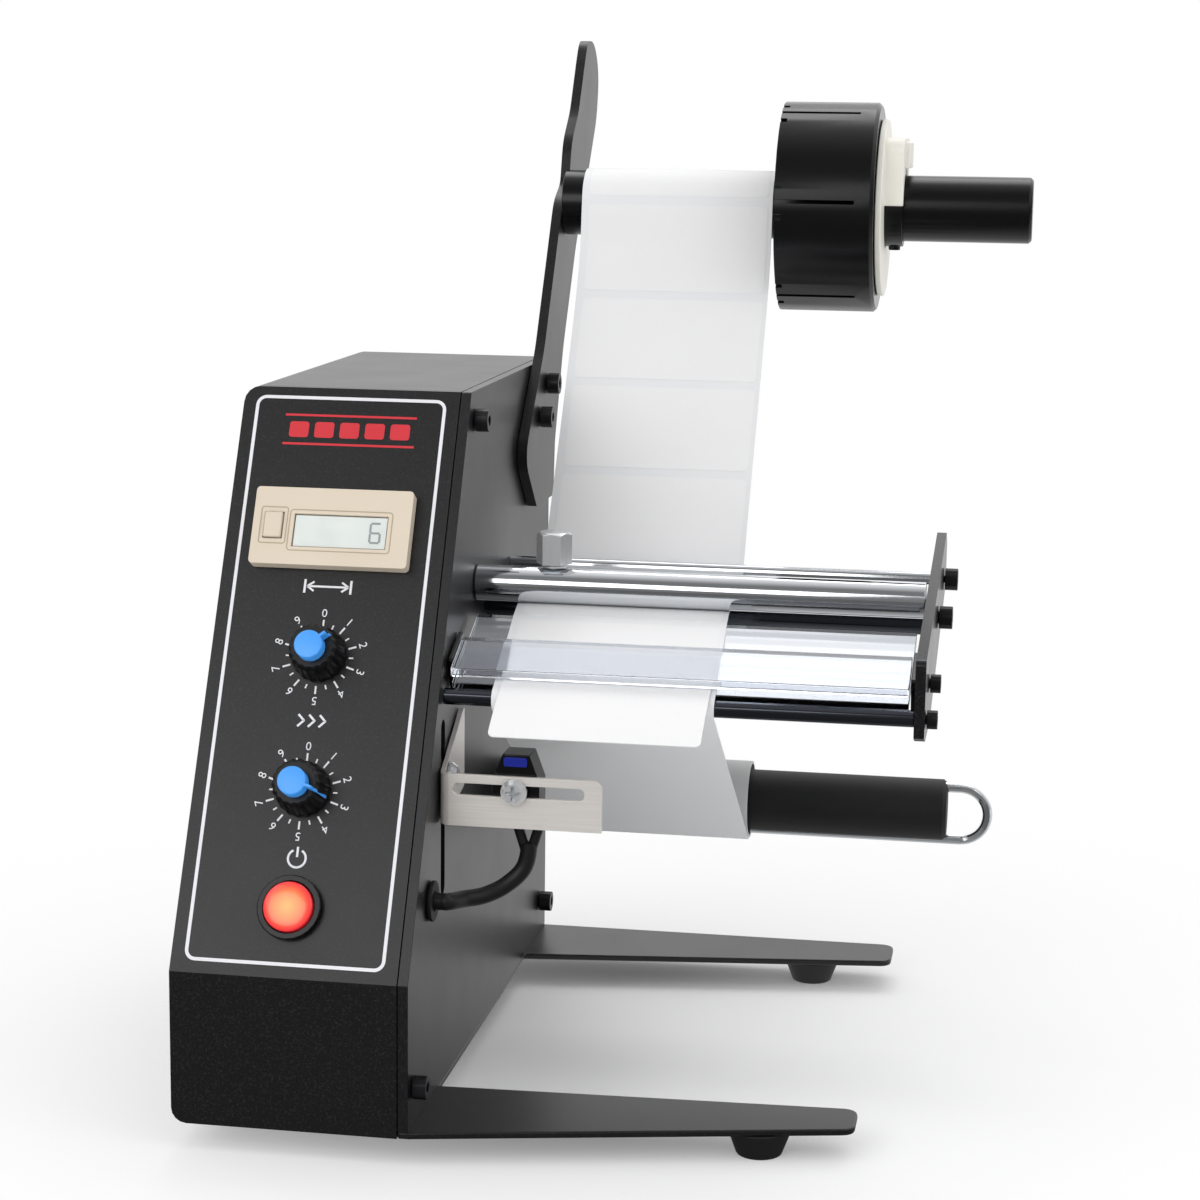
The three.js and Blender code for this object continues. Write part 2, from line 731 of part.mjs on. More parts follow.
// Cross rods between the side plate and the end plate.
const rodEnd = rodSpan - clearance;
const endPlateX = rodSpan;
const endFace = endPlateX + endPlateThickness;
const blindHole = (radius, y, z) =>
  bar('x', radius + clearance, rodEnd - endScrewDepth, rodEnd + overrun, y, z, smallSides);
place('thin_rod', bar('x', thinRodRadius, clearance, rodEnd, thinRodY, thinRodZ, smallSides)
  .subtract(blindHole(thinScrewRadius, thinRodY, thinRodZ)), chrome);
place('guide_bar', bar('x', guideBarRadius, clearance, rodEnd, guideBarY, guideBarZ)
  .subtract(blindHole(m4Radius, guideBarY, guideBarZ)), darkSteel);
place('peel_bar', bar('x', peelBarRadius, clearance, rodEnd, peelBarY, peelBarZ, smallSides)
  .subtract(blindHole(m3Radius, peelBarY, peelBarZ)), darkSteel);
const chromeTop = chromeRodZ + chromeRodRadius;
const thumbSeat = chromeTop + clearance;
const chromeRod = bar('x', chromeRodRadius, clearance, rodEnd, chromeRodY, chromeRodZ,
  fineSides)
  .subtract(bar('z', thumbStemRadius + clearance, chromeTop - thumbStemLength - clearance,
    chromeTop + overrun, thumbX, chromeRodY, smallSides));
place('chrome_rod', chromeRod, chrome);

// Hex thumbscrew: seat, neck and hexagonal head over a stem in the chrome rod.
const neckTop = thumbSeat + thumbSeatHeight + thumbNeckHeight;
const thumbTop = neckTop + thumbHeight;
const hexCorner = thumbAcross / Math.sqrt(3);
const thumbHead = prism('z', hexagon(thumbX, chromeRodY, thumbAcross), neckTop, thumbTop)
  .intersect(turned('z', [
    [0, neckTop - overrun], [hexCorner + overrun, neckTop - overrun],
    [hexCorner + overrun, thumbTop - overrun - thumbChamfer],
    [thumbAcross / 2 - thumbChamfer / 2, thumbTop], [0, thumbTop],
  ], thumbX, chromeRodY));
place('hex_thumbscrew', thumbHead.add(turned('z', [
  [0, chromeTop - thumbStemLength], [thumbStemRadius, chromeTop - thumbStemLength],
  [thumbStemRadius, thumbSeat], [thumbSeatRadius, thumbSeat],
  [thumbSeatRadius - thumbSeatHeight / 2, thumbSeat + thumbSeatHeight],
  [thumbNeckRadius, thumbSeat + thumbSeatHeight], [thumbNeckRadius, neckTop + thumbChamfer],
  [0, neckTop + thumbChamfer],
], thumbX, chromeRodY)), steel);

// Clear guide plates, laid out along the tilt of the web with u to the back and n up.
const peelClear = peelBarRadius + clearance;
const plateFrontY = peelBarY + peelLead * Math.cos(guideAngle)
  - peelClear * Math.sin(guideAngle);
const plateFrontZ = peelBarZ + peelLead * Math.sin(guideAngle)
  + peelClear * Math.cos(guideAngle);
const along = (u, n) => new THREE.Vector2(
  plateFrontY + u * Math.cos(guideAngle) - n * Math.sin(guideAngle),
  plateFrontZ + u * Math.sin(guideAngle) + n * Math.cos(guideAngle),
);
const slab = (u0, u1, n0, n1) => [along(u0, n0), along(u1, n0), along(u1, n1), along(u0, n1)];
const plateInset = guideBlockThickness + clearance * 2;
const plateRight = rodEnd - guideBlockThickness - clearance;
place('lower_guide_plate', prism('x', slab(0, lowerPlateDepth, -acrylic, 0),
  plateInset, plateRight)
  .subtract(bar('x', peelClear, 0, endPlateX, peelBarY, peelBarZ)), clearSheet);
place('upper_guide_strip', prism('x', slab(0, upperStripDepth, webSlot, webSlot + acrylic),
  plateInset, plateRight), clearSheet);
const blockOutline = rounded([
  ...slab(acrylic * 1.5, upperStripDepth + acrylic, -acrylic * 2, webSlot + acrylic),
].map((p) => [p.x, p.y, overrun]));
const blockCentre = along(endScrewBlockU, -acrylic / 2);
const blockScrewHole = circle(blockCentre.x, blockCentre.y, m3Radius + clearance);
place('guide_block_left', prism('x', blockOutline, clearance,
  clearance + guideBlockThickness), blackPlastic);
place('guide_block_right', prism('x', blockOutline, rodEnd - guideBlockThickness, rodEnd,
  [blockScrewHole]), blackPlastic);

// End plate with its four screws.
const endPlateOutline = rounded(endPlateShares.map(([y, z, radius]) => [
  endPlateY + y * endPlateDepth, endPlateZ + z * endPlateHeight, radius * endPlateHeight,
]));
const endScrews = {
  end_screw_thin_rod: [thinRodY, thinRodZ, m4HeadRadius, m4HeadHeight, thinScrewRadius,
    m4Socket, endScrewDepth],
  end_screw_guide_bar: [guideBarY, guideBarZ, m4HeadRadius, m4HeadHeight, m4Radius,
    m4Socket, endScrewDepth],
  end_screw_peel_bar: [peelBarY, peelBarZ, m3HeadRadius, m3HeadHeight, m3Radius,
    m3Socket, endScrewDepth],
  end_screw_block: [blockCentre.x, blockCentre.y, m3HeadRadius, m3HeadHeight, m3Radius,
    m3Socket, guideBlockThickness],
};
place('end_plate', prism('x', endPlateOutline, endPlateX, endFace,
  Object.values(endScrews).map(([y, z, , , radius]) => circle(y, z, radius + clearance))),
blackCoat);
for (const [name, [y, z, head, height, radius, socket, depth]] of Object.entries(endScrews)) {
  place(name, capScrew(endFace + clearance, y, z, head, height, radius,
    endPlateThickness + depth - clearance, socket), blackScrew);
}

// The web's route, as places on the centre of the strip from the shaft to the mandrel.
const webHalf = linerThickness / 2;
const arc = (y, z, radius, from, to, steps) => Array.from({ length: steps + 1 }, (u, i) => {
  const angle = THREE.MathUtils.degToRad(from + ((to - from) * i) / steps);
  return new THREE.Vector2(y + radius * Math.cos(angle), z + radius * Math.sin(angle));
});
const wrapOn = (radius) => radius + clearance + webHalf;
const sagShares = [[0.04, 0.87], [0.14, 0.74], [0.4, 0.51], [0.67, 0.285], [0.87, 0.12]];
const shaftWrap = wrapOn(shaftRadius);
const sagTop = [shaftY - shaftWrap, shaftZ];
const thinWrap = wrapOn(thinRodRadius);
const sagFoot = [thinRodY + thinWrap * 0.8, thinRodZ - thinWrap * 0.6];
const sagLine = new THREE.CatmullRomCurve3([
  new THREE.Vector3(0, ...sagTop),
  ...sagShares.map(([drop, level]) => new THREE.Vector3(0,
    sagTop[0] - drop * (sagTop[0] - sagFoot[0]),
    sagFoot[1] + level * (sagTop[1] - sagFoot[1]))),
  new THREE.Vector3(0, ...sagFoot),
], false, 'centripetal').getPoints(18).map((p) => new THREE.Vector2(p.y, p.z));
const plateRise = labelThickness + webRise + webHalf;
const peelWrap = peelClear + plateRise;
const woundInner = clipLowerOffset + wireRadius + clearance;
const woundOuter = woundInner + woundThickness;
const woundWrap = woundOuter + clearance + webHalf;
// The return run leaves the peel bar and meets the underside of the wound strip.
const runY = mandrelY - peelBarY;
const runZ = mandrelZ - peelBarZ;
const runLength = Math.hypot(runY, runZ);
const runAngle = THREE.MathUtils.radToDeg(Math.atan2(runZ, runY));
const runSplay = THREE.MathUtils.radToDeg(Math.asin((woundWrap - peelWrap) / runLength));
const returnAngle = runAngle - runSplay - 90;
const webRoute = [
  ...arc(shaftY, shaftZ, shaftWrap, webTailAngle, 180, 16).slice(0, -1),
  ...sagLine,
  ...arc(thinRodY, thinRodZ, thinWrap, -60, -90, 3),
  ...arc(guideBarY, guideBarZ, wrapOn(guideBarRadius), 90, 118, 4),
  ...arc(chromeRodY, chromeRodZ, wrapOn(chromeRodRadius), -62, -105, 5),
  along(lowerPlateDepth - overrun, plateRise),
  along(overrun * 2, plateRise),
  ...arc(peelBarY, peelBarZ, peelWrap, 90 + guideTilt, 360 + returnAngle, 10),
  ...arc(mandrelY, mandrelZ, woundWrap, returnAngle, returnAngle + 8, 2),
];
// A strip along a route, from inner to outer on its left-hand side, drawn out across.
function strip(route, inner, outer, from, to) {
  const clean = route.filter((p, i) => !i || p.distanceTo(route[i - 1]) > weld * 100);
  const side = clean.map((p, i) => {
    const before = clean[Math.max(i - 1, 0)];
    const after = clean[Math.min(i + 1, clean.length - 1)];
    const way = after.clone().sub(before).normalize();
    return new THREE.Vector2(-way.y, way.x);
  });
  const edge = (offset) => clean.map((p, i) => p.clone().addScaledVector(side[i], offset));
  return prism('x', [...edge(inner), ...edge(outer).reverse()], from, to);
}
const lengths = webRoute.reduce((sums, p, i) => {
  sums.push(i ? sums[i - 1] + p.distanceTo(webRoute[i - 1]) : 0);
  return sums;
}, []);
const routeAt = (s) => {
  const i = Math.min(Math.max(lengths.findIndex((l) => l > s), 1), lengths.length - 1);
  const share = (s - lengths[i - 1]) / (lengths[i] - lengths[i - 1] || 1);
  return webRoute[i - 1].clone().lerp(webRoute[i], share);
};
const stretch = (from, to) => [
  routeAt(from), ...webRoute.filter((p, i) => lengths[i] > from && lengths[i] < to),
  routeAt(to),
];
const linerEnd = linerStart + linerWidth;
const labelMargin = (linerWidth - labelWidth) / 2;
const labelStart = linerStart + labelMargin + labelShift;
const labelEnd = labelStart + labelWidth;
const peelStart = lengths[webRoute.findIndex((p) => p === webRoute.at(-14))];
let web = strip(webRoute, -webHalf, webHalf, linerStart, linerEnd);
const outward = -1;
const labelEdges = [];
for (let s = peelStart - labelPhase; s > labelPitch; s -= labelPitch) labelEdges.push(s);
for (const s of labelEdges) {
  const patch = strip(stretch(s - labelPitch + labelGap, s),
    outward * (webHalf - labelBite), outward * (webHalf + labelThickness),
    labelStart, labelEnd);
  web = web.add(patch);
}
// The strip lies to the right at the plates and drifts left on its way up.
const webGeometry = geometryOf(web);
const webPlaces = webGeometry.attributes.position;
for (let i = 0; i < webPlaces.count; i += 1) {
  if (webPlaces.getZ(i) > peelBarZ) {
    const share = (webPlaces.getY(i) - peelBarY) / (thinRodY - peelBarY);
    webPlaces.setX(i, webPlaces.getX(i) - webDrift * THREE.MathUtils.clamp(share, 0, 1));
  }
}
place('label_liner', solidOf(webGeometry), linerPaper);

// The label that has come off the strip at the peel bar.
const droopSteps = 6;
const dispensedRise = plateRise + webHalf + dispensedGap + dispensedThickness / 2;
const dispensedRoute = [along(dispensedHold, dispensedRise)];
for (let i = 0; i < droopSteps; i += 1) {
  const share = THREE.MathUtils.clamp((i - 1) / (droopSteps - 2), 0, 1);
  const angle = THREE.MathUtils.degToRad(
    THREE.MathUtils.lerp(guideTilt, dispensedDroop, share));
  const step = dispensedLength / droopSteps;
  dispensedRoute.push(dispensedRoute.at(-1).clone()
    .sub(new THREE.Vector2(step * Math.cos(angle), step * Math.sin(angle))));
}
const dispensedTip = dispensedRoute.at(-1);
place('dispensed_label', strip(dispensedRoute, -dispensedThickness / 2,
  dispensedThickness / 2, labelStart, labelEnd)
  .intersect(prism('z', rounded([
    [labelStart, dispensedTip.x, dispensedCorner], [labelEnd, dispensedTip.x, dispensedCorner],
    [labelEnd, dispensedRoute[0].x + overrun], [labelStart, dispensedRoute[0].x + overrun],
  ]), dispensedTip.y - overrun, dispensedRoute[0].y + overrun)), whitePaper);

// Take-up mandrel: a grip with a groove for the clip, on a spigot in the gearbox.
const mandrelStart = overrun;
const mandrelEnd = mandrelStart + mandrelLength;
const upperLegZ = mandrelZ + clipUpperOffset;
const lowerLegZ = mandrelZ - clipLowerOffset;
const grooveRadius = wireRadius + clearance;
const spigotEnd = mandrelStart - spigotLength;
const clipBend = mandrelEnd + clipStandoff;
const clipEndUpper = mandrelEnd - clipUpperDepth;
const clipEndLower = mandrelEnd - clipReach;
const mandrel = turned('x', [
  [0, spigotEnd], [spigotRadius, spigotEnd], [spigotRadius, mandrelStart],
  [mandrelRadius, mandrelStart], [mandrelRadius, mandrelEnd - mandrelEndRound],
  [mandrelRadius - mandrelEndRound, mandrelEnd], [0, mandrelEnd],
], mandrelY, mandrelZ, fineSides)
  .subtract(bar('x', grooveRadius, clipEndUpper - clearance, mandrelEnd + overrun,
    mandrelY, upperLegZ, smallSides))
  .subtract(bar('x', grooveRadius, clipEndLower - clearance, mandrelEnd + overrun,
    mandrelY, lowerLegZ, smallSides));
place('take_up_mandrel', mandrel, rubber);
place('wound_liner', ring('x', woundInner, woundOuter, linerStart, linerEnd, mandrelY,
  mandrelZ, fineSides), linerPaper);

// Wire clip: a long leg in the groove and a short one in the mandrel's end.
class HalfLoop extends THREE.Curve {
  getPoint(t, target = new THREE.Vector3()) {
    const angle = Math.PI * (t - 1 / 2);
    const radius = (upperLegZ - lowerLegZ) / 2;
    return target.set(clipBend + radius * Math.cos(angle), mandrelY,
      (upperLegZ + lowerLegZ) / 2 + radius * Math.sin(angle));
  }
}
const clip = tube(new HalfLoop(), wireRadius, 12, 20)
  .add(bar('x', wireRadius, clipEndUpper, clipBend + clearance, mandrelY, upperLegZ, 12))
  .add(bar('x', wireRadius, clipEndLower, clipBend + clearance, mandrelY, lowerLegZ, 12));
place('wire_clip', clip, chrome);

// Flanged bush in the side plate, and the geared motor that drives the spigot.
const spigotBore = spigotRadius + clearance;
const bushBack = plateLeft - clearance - bushFlange;
place('mandrel_bush', turned('x', [
  [spigotBore, bushBack], [bushFlangeRadius, bushBack],
  [bushFlangeRadius, plateLeft - clearance], [bushRadius, plateLeft - clearance],
  [bushRadius, 0], [spigotBore, 0], [spigotBore, bushBack],
], mandrelY, mandrelZ), steel);
const gearboxFace = bushBack - clearance;
const gearboxBack = gearboxFace - gearboxLength;
const motorDrop = gearboxHeight / 2 - motorRadius - gearboxGap;
place('gear_motor', prism('x', rectangle(mandrelY - gearboxWidth / 2,
  mandrelY + gearboxWidth / 2, mandrelZ - gearboxHeight / 2, mandrelZ + gearboxHeight / 2,
  overrun * 2), gearboxBack, gearboxFace)
  .add(bar('x', motorRadius, gearboxBack - motorLength, gearboxBack + overrun, mandrelY,
    mandrelZ + motorDrop))
  .subtract(bar('x', spigotBore, spigotEnd - clearance, gearboxFace + overrun, mandrelY,
    mandrelZ)), caseSilver);

// Counter: a bezelled body in its cut-out, a window and a reset button.
const faceSeat = clearance;
const bezelFace = faceSeat + bezelHeight;
const counterLeft = counterX - counterWidth / 2;
const counterRight = counterX + counterWidth / 2;
const windowX = counterX + windowShift;
const windowS = counterS - windowDrop;
const windowFrame = (grow) => rectangle(windowX - windowWidth / 2 - grow,
  windowX + windowWidth / 2 + grow, windowS - windowHeight / 2 - grow,
  windowS + windowHeight / 2 + grow);
const resetX = counterX - resetShift;
const resetS = counterS;
const resetFrame = (grow) => rectangle(resetX - resetWidth / 2 - grow,
  resetX + resetWidth / 2 + grow, resetS - resetHeight / 2 - grow,
  resetS + resetHeight / 2 + grow);
const bezel = rectangle(counterLeft, counterRight, counterS - counterHeight / 2,
  counterS + counterHeight / 2, bezelCorner);
const behind = rectangle(counterX - counterCutWidth / 2 + clearance,
  counterX + counterCutWidth / 2 - clearance, counterS - counterCutHeight / 2 + clearance,
  counterS + counterCutHeight / 2 - clearance);
const windowBack = bezelFace - windowThickness;
const windowSink = clearance * 2;
const resetBack = bezelFace + resetProud - bezelHeight;
place('counter_body', prism('z', bezel, faceSeat, bezelFace)
  .add(prism('z', behind, -counterDepth, faceSeat + overrun))
  .subtract(prism('z', windowFrame(clearance), windowBack - windowSink - clearance,
    bezelFace + overrun))
  .subtract(prism('z', resetFrame(clearance), resetBack - resetTravel - clearance,
    bezelFace + overrun)), beige, controlFace);
place('counter_window', prism('z', windowFrame(0), windowBack - windowSink,
  bezelFace - windowSink), displayGrey, controlFace);
place('counter_reset_button', prism('z', resetFrame(0), resetBack,
  bezelFace + resetProud), beige, controlFace);

// Dials: a potentiometer behind the face, a fluted knob and a pointer cap on each.
const knobFoot = faceSeat;
const knobTop = knobFoot + knobHeight;
const potBack = -panelThickness - clearance;
const knobShape = () => {
  const knobProfile = [
    [0, knobFoot], [knobRadius, knobFoot], [knobRadius, knobFoot + knobHeight / 5],
    [knobTopRadius + (knobRadius - knobTopRadius) / 2, knobTop - overrun],
    [knobTopRadius, knobTop], [0, knobTop],
  ].map(([radius, station]) => new THREE.Vector2(radius, station));
  const geometry = new THREE.LatheGeometry(knobProfile, knobFlutes * 4);
  const places = geometry.attributes.position;
  for (let i = 0; i < places.count; i += 1) {
    const [x, z] = [places.getX(i), places.getZ(i)];
    const radius = Math.hypot(x, z);
    if (radius > knobTopRadius * 0.9) {
      const wave = (1 + Math.cos(knobFlutes * Math.atan2(z, x))) / 2;
      const scale = 1 - (knobFlute * wave) / radius;
      places.setX(i, x * scale);
      places.setZ(i, z * scale);
    }
  }
  return solidOf(geometry.rotateX(Math.PI / 2))
    .subtract(bar('z', potShaftRadius + clearance, knobFoot - overrun,
      knobFoot + potBushLength + clearance, 0, 0, smallSides));
};
const capFoot = knobTop + clearance;
const capShape = () => turned('z', [
  [0, capFoot], [capRadius, capFoot], [capRadius, capFoot + capHeight * 0.75],
  [capRadius - overrun, capFoot + capHeight], [0, capFoot + capHeight],
], 0, 0).add(prism('x', [
  new THREE.Vector2(0, capFoot), new THREE.Vector2(capTailLength, capFoot),
  new THREE.Vector2(capTailLength, capFoot + overrun),
  new THREE.Vector2(0, capFoot + capHeight * 0.7),
], -capTailWidth / 2, capTailWidth / 2));
const dials = [
  ['length', lengthDialS, lengthKnobTurn], ['speed', speedDialS, speedKnobTurn],
];
for (const [name, s, turn] of dials) {
  place(`${name}_knob`, knobShape().rotate([0, 0, turn]).translate([dialX, s, 0]),
    blackPlastic, controlFace);
  place(`${name}_knob_cap`, capShape().rotate([0, 0, turn]).translate([dialX, s, 0]),
    blueCap, controlFace);
  place(`${name}_potentiometer`, bar('z', potBodyRadius, potBack - potBodyLength, potBack,
    dialX, s).add(bar('z', potBushRadius, potBack - overrun, 0, dialX, s, smallSides))
    .add(bar('z', potShaftRadius, -overrun, knobFoot + potBushLength, dialX, s, smallSides)),
  caseSilver, controlFace);
}

// Power switch: a round bezel and barrel, and the lit push button in it.
const switchFace = faceSeat + switchBezelHeight;
const buttonFoot = faceSeat - overrun;
const buttonTop = switchFace + buttonHeight / 2;
place('power_switch_body', bar('z', switchBezelRadius, faceSeat, switchFace, powerX, powerS)
  .add(bar('z', switchBodyRadius, -switchBodyLength, faceSeat + overrun, powerX, powerS))
  .subtract(bar('z', buttonRadius + clearance, buttonFoot - buttonTravel - clearance,
    switchFace + overrun, powerX, powerS)), blackPlastic, controlFace);
place('power_button', turned('z', [
  [0, buttonFoot], [buttonRadius, buttonFoot], [buttonRadius, buttonTop - overrun],
  [buttonRadius * 0.86, buttonTop - overrun * 0.25], [buttonRadius * 0.5, buttonTop],
  [0, buttonTop],
], powerX, powerS), orangeLens, controlFace);

// Sensor bracket: an L of sheet, slotted in front, screwed through the plate's slot.
const bracketBack = bracketY + bracketThickness;
const bracketLeft = clearance;
const bracketRight = bracketLeft + bracketLength;
const bracketTop = bracketBottom + bracketHeight;
const bracketRear = bracketY + bracketDepth;
const bracketRearTop = bracketRearBottom + bracketRearHeight - bracketThickness * 2;
const bracketScrew = [slotY, (bracketTop + bracketSlotZ) / 2];
const sideEdge = bracketBack + overrun;
const bracketPlan = rounded([
  [bracketLeft, bracketY, bracketBend], [bracketRight, bracketY], [bracketRight, bracketBack],
  [bracketLeft + bracketThickness, bracketBack, bracketBend - bracketThickness],
  [bracketLeft + bracketThickness, bracketRear], [bracketLeft, bracketRear],
]);
const bracketFront = rounded([
  [bracketLeft - overrun, bracketBottom], [bracketRight, bracketBottom],
  [bracketRight, bracketTop, bracketCorner], [bracketThickness * 2 + bracketLeft, bracketTop],
  [bracketThickness * 2 + bracketLeft, bracketRearTop + overrun],
  [bracketLeft - overrun, bracketRearTop + overrun],
]);
place('sensor_bracket', prism('z', bracketPlan, bracketBottom, bracketRearTop)
  .intersect(prism('x', rounded([
    [bracketY - overrun, bracketBottom], [sideEdge, bracketBottom],
    [bracketRear, bracketRearBottom, overrun], [bracketRear, bracketRearTop, overrun],
    [sideEdge, bracketTop], [bracketY - overrun, bracketTop],
  ]), bracketLeft - overrun, bracketRight + overrun))
  .intersect(prism('y', bracketFront, bracketY - overrun, bracketRear + overrun))
  .subtract(prism('y', rectangle(bracketSlotStart, bracketSlotEnd,
    bracketSlotZ - bracketSlotWidth / 2, bracketSlotZ + bracketSlotWidth / 2,
    bracketSlotWidth / 2), bracketY - overrun, bracketBack + overrun))
  .subtract(bar('x', sensorScrewRadius + clearance, bracketLeft - overrun,
    bracketLeft + bracketThickness + overrun, ...bracketScrew, smallSides)), steel);

// Pan-head screws: one holds the bracket to the plate, one the sensor to the bracket.
const panProfile = (seat) => [
  [0, seat], [panHeadRadius, seat], [panHeadRadius, seat + panHeadHeight / 3],
  [panHeadRadius * 0.7, seat + panHeadHeight], [0, seat + panHeadHeight],
];
const crossRecess = (axis, seat, a, b) => [
  [crossLength, crossWidth], [crossWidth, crossLength],
].reduce((made, [wide, tall]) => made.subtract(prism(axis,
  rectangle(a - wide / 2, a + wide / 2, b - tall / 2, b + tall / 2),
  seat + panHeadHeight - crossDepth, seat + panHeadHeight + overrun)),
turned(axis, panProfile(seat), a, b, plainSides));
const bracketSeat = bracketLeft + bracketThickness + clearance;
place('bracket_screw', crossRecess('x', bracketSeat, ...bracketScrew)
  .add(bar('x', sensorScrewRadius, plateLeft * 2, bracketSeat + overrun, ...bracketScrew,
    smallSides)), steel);
const sensorBack = bracketBack + clearance + sensorDepth;
const screwDepth = bracketThickness + clearance * 2 + sensorDepth / 2;
const alongY = (made) => {
  const geometry = geometryOf(made);
  geometry.rotateX(Math.PI / 2);
  geometry.translate(sensorX, bracketY - clearance, bracketSlotZ);
  return solidOf(geometry);
};
place('sensor_screw', alongY(crossRecess('z', 0, 0, 0)
  .add(bar('z', sensorScrewRadius, -screwDepth, overrun, 0, 0, smallSides))), steel);
const shoulder = sensorZ + sensorShoulder;
place('label_sensor', prism('y', [
  new THREE.Vector2(sensorX - sensorFoot / 2, sensorZ),
  new THREE.Vector2(sensorX + sensorFoot / 2, sensorZ),
  new THREE.Vector2(sensorX + sensorFoot / 2, shoulder),
  new THREE.Vector2(sensorX + sensorTop / 2, sensorZ + sensorHeight),
  new THREE.Vector2(sensorX - sensorTop / 2, sensorZ + sensorHeight),
  new THREE.Vector2(sensorX - sensorFoot / 2, shoulder),
], bracketBack + clearance, sensorBack)
  .subtract(alongY(bar('z', sensorScrewRadius + clearance, -screwDepth - clearance, 0,
    0, 0, smallSides))), blackPlastic);
const sensorWindowTop = sensorZ + sensorHeight - sensorWindowDrop;
place('sensor_window', prism('y', rectangle(sensorX - sensorWindowWidth / 2,
  sensorX + sensorWindowWidth / 2, sensorWindowTop - sensorWindowHeight, sensorWindowTop, sensorWindowDrop),
bracketBack - sensorWindowThickness + clearance / 2, bracketBack + clearance / 2), blueCap);

// Sensor cable: two leads join under the sensor and run through a grommet in the plate.
const cableY = bracketBack + clearance + sensorDepth / 2;
const leadTop = sensorZ - clearance;
const joinZ = leadTop - branchDrop;
const cableX = sensorX + cableShift;
const cableDropShares = [[1.01, 0.21], [0.95, 0.58], [0.76, 0.87], [0.54, 1.02], [0.34, 1.03]];
const cableFall = joinZ - cableHoleZ;
const grommetFace = clearance + grommetFlange;
const cableCurve = new THREE.CatmullRomCurve3([
  new THREE.Vector3(cableX, cableY, joinZ + branchRadius),
  ...cableDropShares.map(([x, fall], i) => new THREE.Vector3(cableX * x,
    THREE.MathUtils.lerp(cableY, cableHoleY, (i / cableDropShares.length) ** 2),
    joinZ - fall * cableFall)),
  new THREE.Vector3(grommetFace + cableRadius * 1.4, cableHoleY, cableHoleZ),
  new THREE.Vector3(grommetFace + cableRadius * 0.9, cableHoleY, cableHoleZ),
  new THREE.Vector3(grommetFace, cableHoleY, cableHoleZ),
  new THREE.Vector3(plateLeft - grommetLip - cableTail, cableHoleY, cableHoleZ),
], false, 'centripetal');
let cable = tube(cableCurve, cableRadius, 8, 26);
for (const side of [-branchSpread, branchSpread]) {
  const lead = new THREE.CatmullRomCurve3([
    new THREE.Vector3(cableX + side, cableY, leadTop),
    new THREE.Vector3(cableX + side, cableY, leadTop - overrun),
    new THREE.Vector3(cableX + side / 2, cableY, (leadTop + joinZ) / 2 - overrun),
    new THREE.Vector3(cableX, cableY, joinZ - overrun),
  ]);
  cable = cable.add(tube(lead, branchRadius, 8, 5));
}
place('sensor_cable', cable, rubber);
place('cable_grommet', turned('x', [
  [cableRadius + clearance, plateLeft - clearance - grommetLip],
  [grommetRadius + grommetLip, plateLeft - clearance - grommetLip],
  [grommetRadius + grommetLip, plateLeft - clearance],
  [grommetRadius, plateLeft - clearance], [grommetRadius, clearance],
  [grommetRadius + grommetLip, clearance],
  [grommetRadius + grommetLip, clearance + grommetFlange],
  [cableRadius + clearance, clearance + grommetFlange],
  [cableRadius + clearance, plateLeft - clearance - grommetLip],
], cableHoleY, cableHoleZ), rubber);

// Inside: the control board on its posts, and the power supply.
const insideMiddle = (innerLeft + housingRight) / 2;
const boardZ = baseTop + boardLift;
const boardFront = boardY;
let board = block(insideMiddle - boardWidth / 2, insideMiddle + boardWidth / 2, boardFront,
  boardFront + boardDepth, boardZ, boardZ + boardThickness);
const postInset = postRadius + overrun;
for (const x of [-1, 1]) {
  for (const y of [postInset, boardDepth - postInset]) {
    board = board.add(bar('z', postRadius, baseTop, boardZ + overrun,
      insideMiddle + x * (boardWidth / 2 - postInset), boardFront + y, smallSides));
  }
}
const partShares = [[0.2, 0.25, 0.16], [0.62, 0.3, 0.22], [0.35, 0.62, 0.26], [0.72, 0.75, 0.14]];
for (const [x, y, size] of partShares) {
  const centreX = insideMiddle + (x - 1 / 2) * boardWidth;
  const centreY = boardFront + y * boardDepth;
  const half = (size * boardWidth) / 2;
  board = board.add(block(centreX - half, centreX + half, centreY - half, centreY + half,
    boardZ, boardZ + boardThickness + partHeight * (1 / 2 + size)));
}
place('control_board', board, boardGreen);
place('power_supply', block(insideMiddle - supplyWidth / 2, insideMiddle + supplyWidth / 2,
  supplyY, supplyY + supplyDepth, baseTop, baseTop + supplyHeight), caseSilver);

// Mains inlet in the back of the cover: a flanged body with a socket.
const inletFace = housingDepth + clearance;
const inletBack = housingDepth - sheet - inletBodyDepth;
const inletFrame = (width, height, radius) => rectangle(inletX - width / 2,
  inletX + width / 2, inletZ - height / 2, inletZ + height / 2, radius);
place('mains_inlet', prism('y', inletFrame(inletWidth, inletHeight, overrun * 2), inletFace,
  inletFace + inletFlange)
  .add(prism('y', inletFrame(inletBodyWidth, inletBodyHeight, 0), inletBack,
    inletFace + overrun))
  .subtract(prism('y', rounded([
    [inletX - socketWidth / 2, inletZ - socketHeight / 2],
    [inletX + socketWidth / 2, inletZ - socketHeight / 2],
    [inletX + socketWidth / 2, inletZ + socketHeight / 4],
    [inletX + socketWidth / 3, inletZ + socketHeight / 2],
    [inletX - socketWidth / 3, inletZ + socketHeight / 2],
    [inletX - socketWidth / 2, inletZ + socketHeight / 4],
  ]), inletFace + inletFlange - socketDepth, inletFace + inletFlange + overrun)),
blackPlastic);

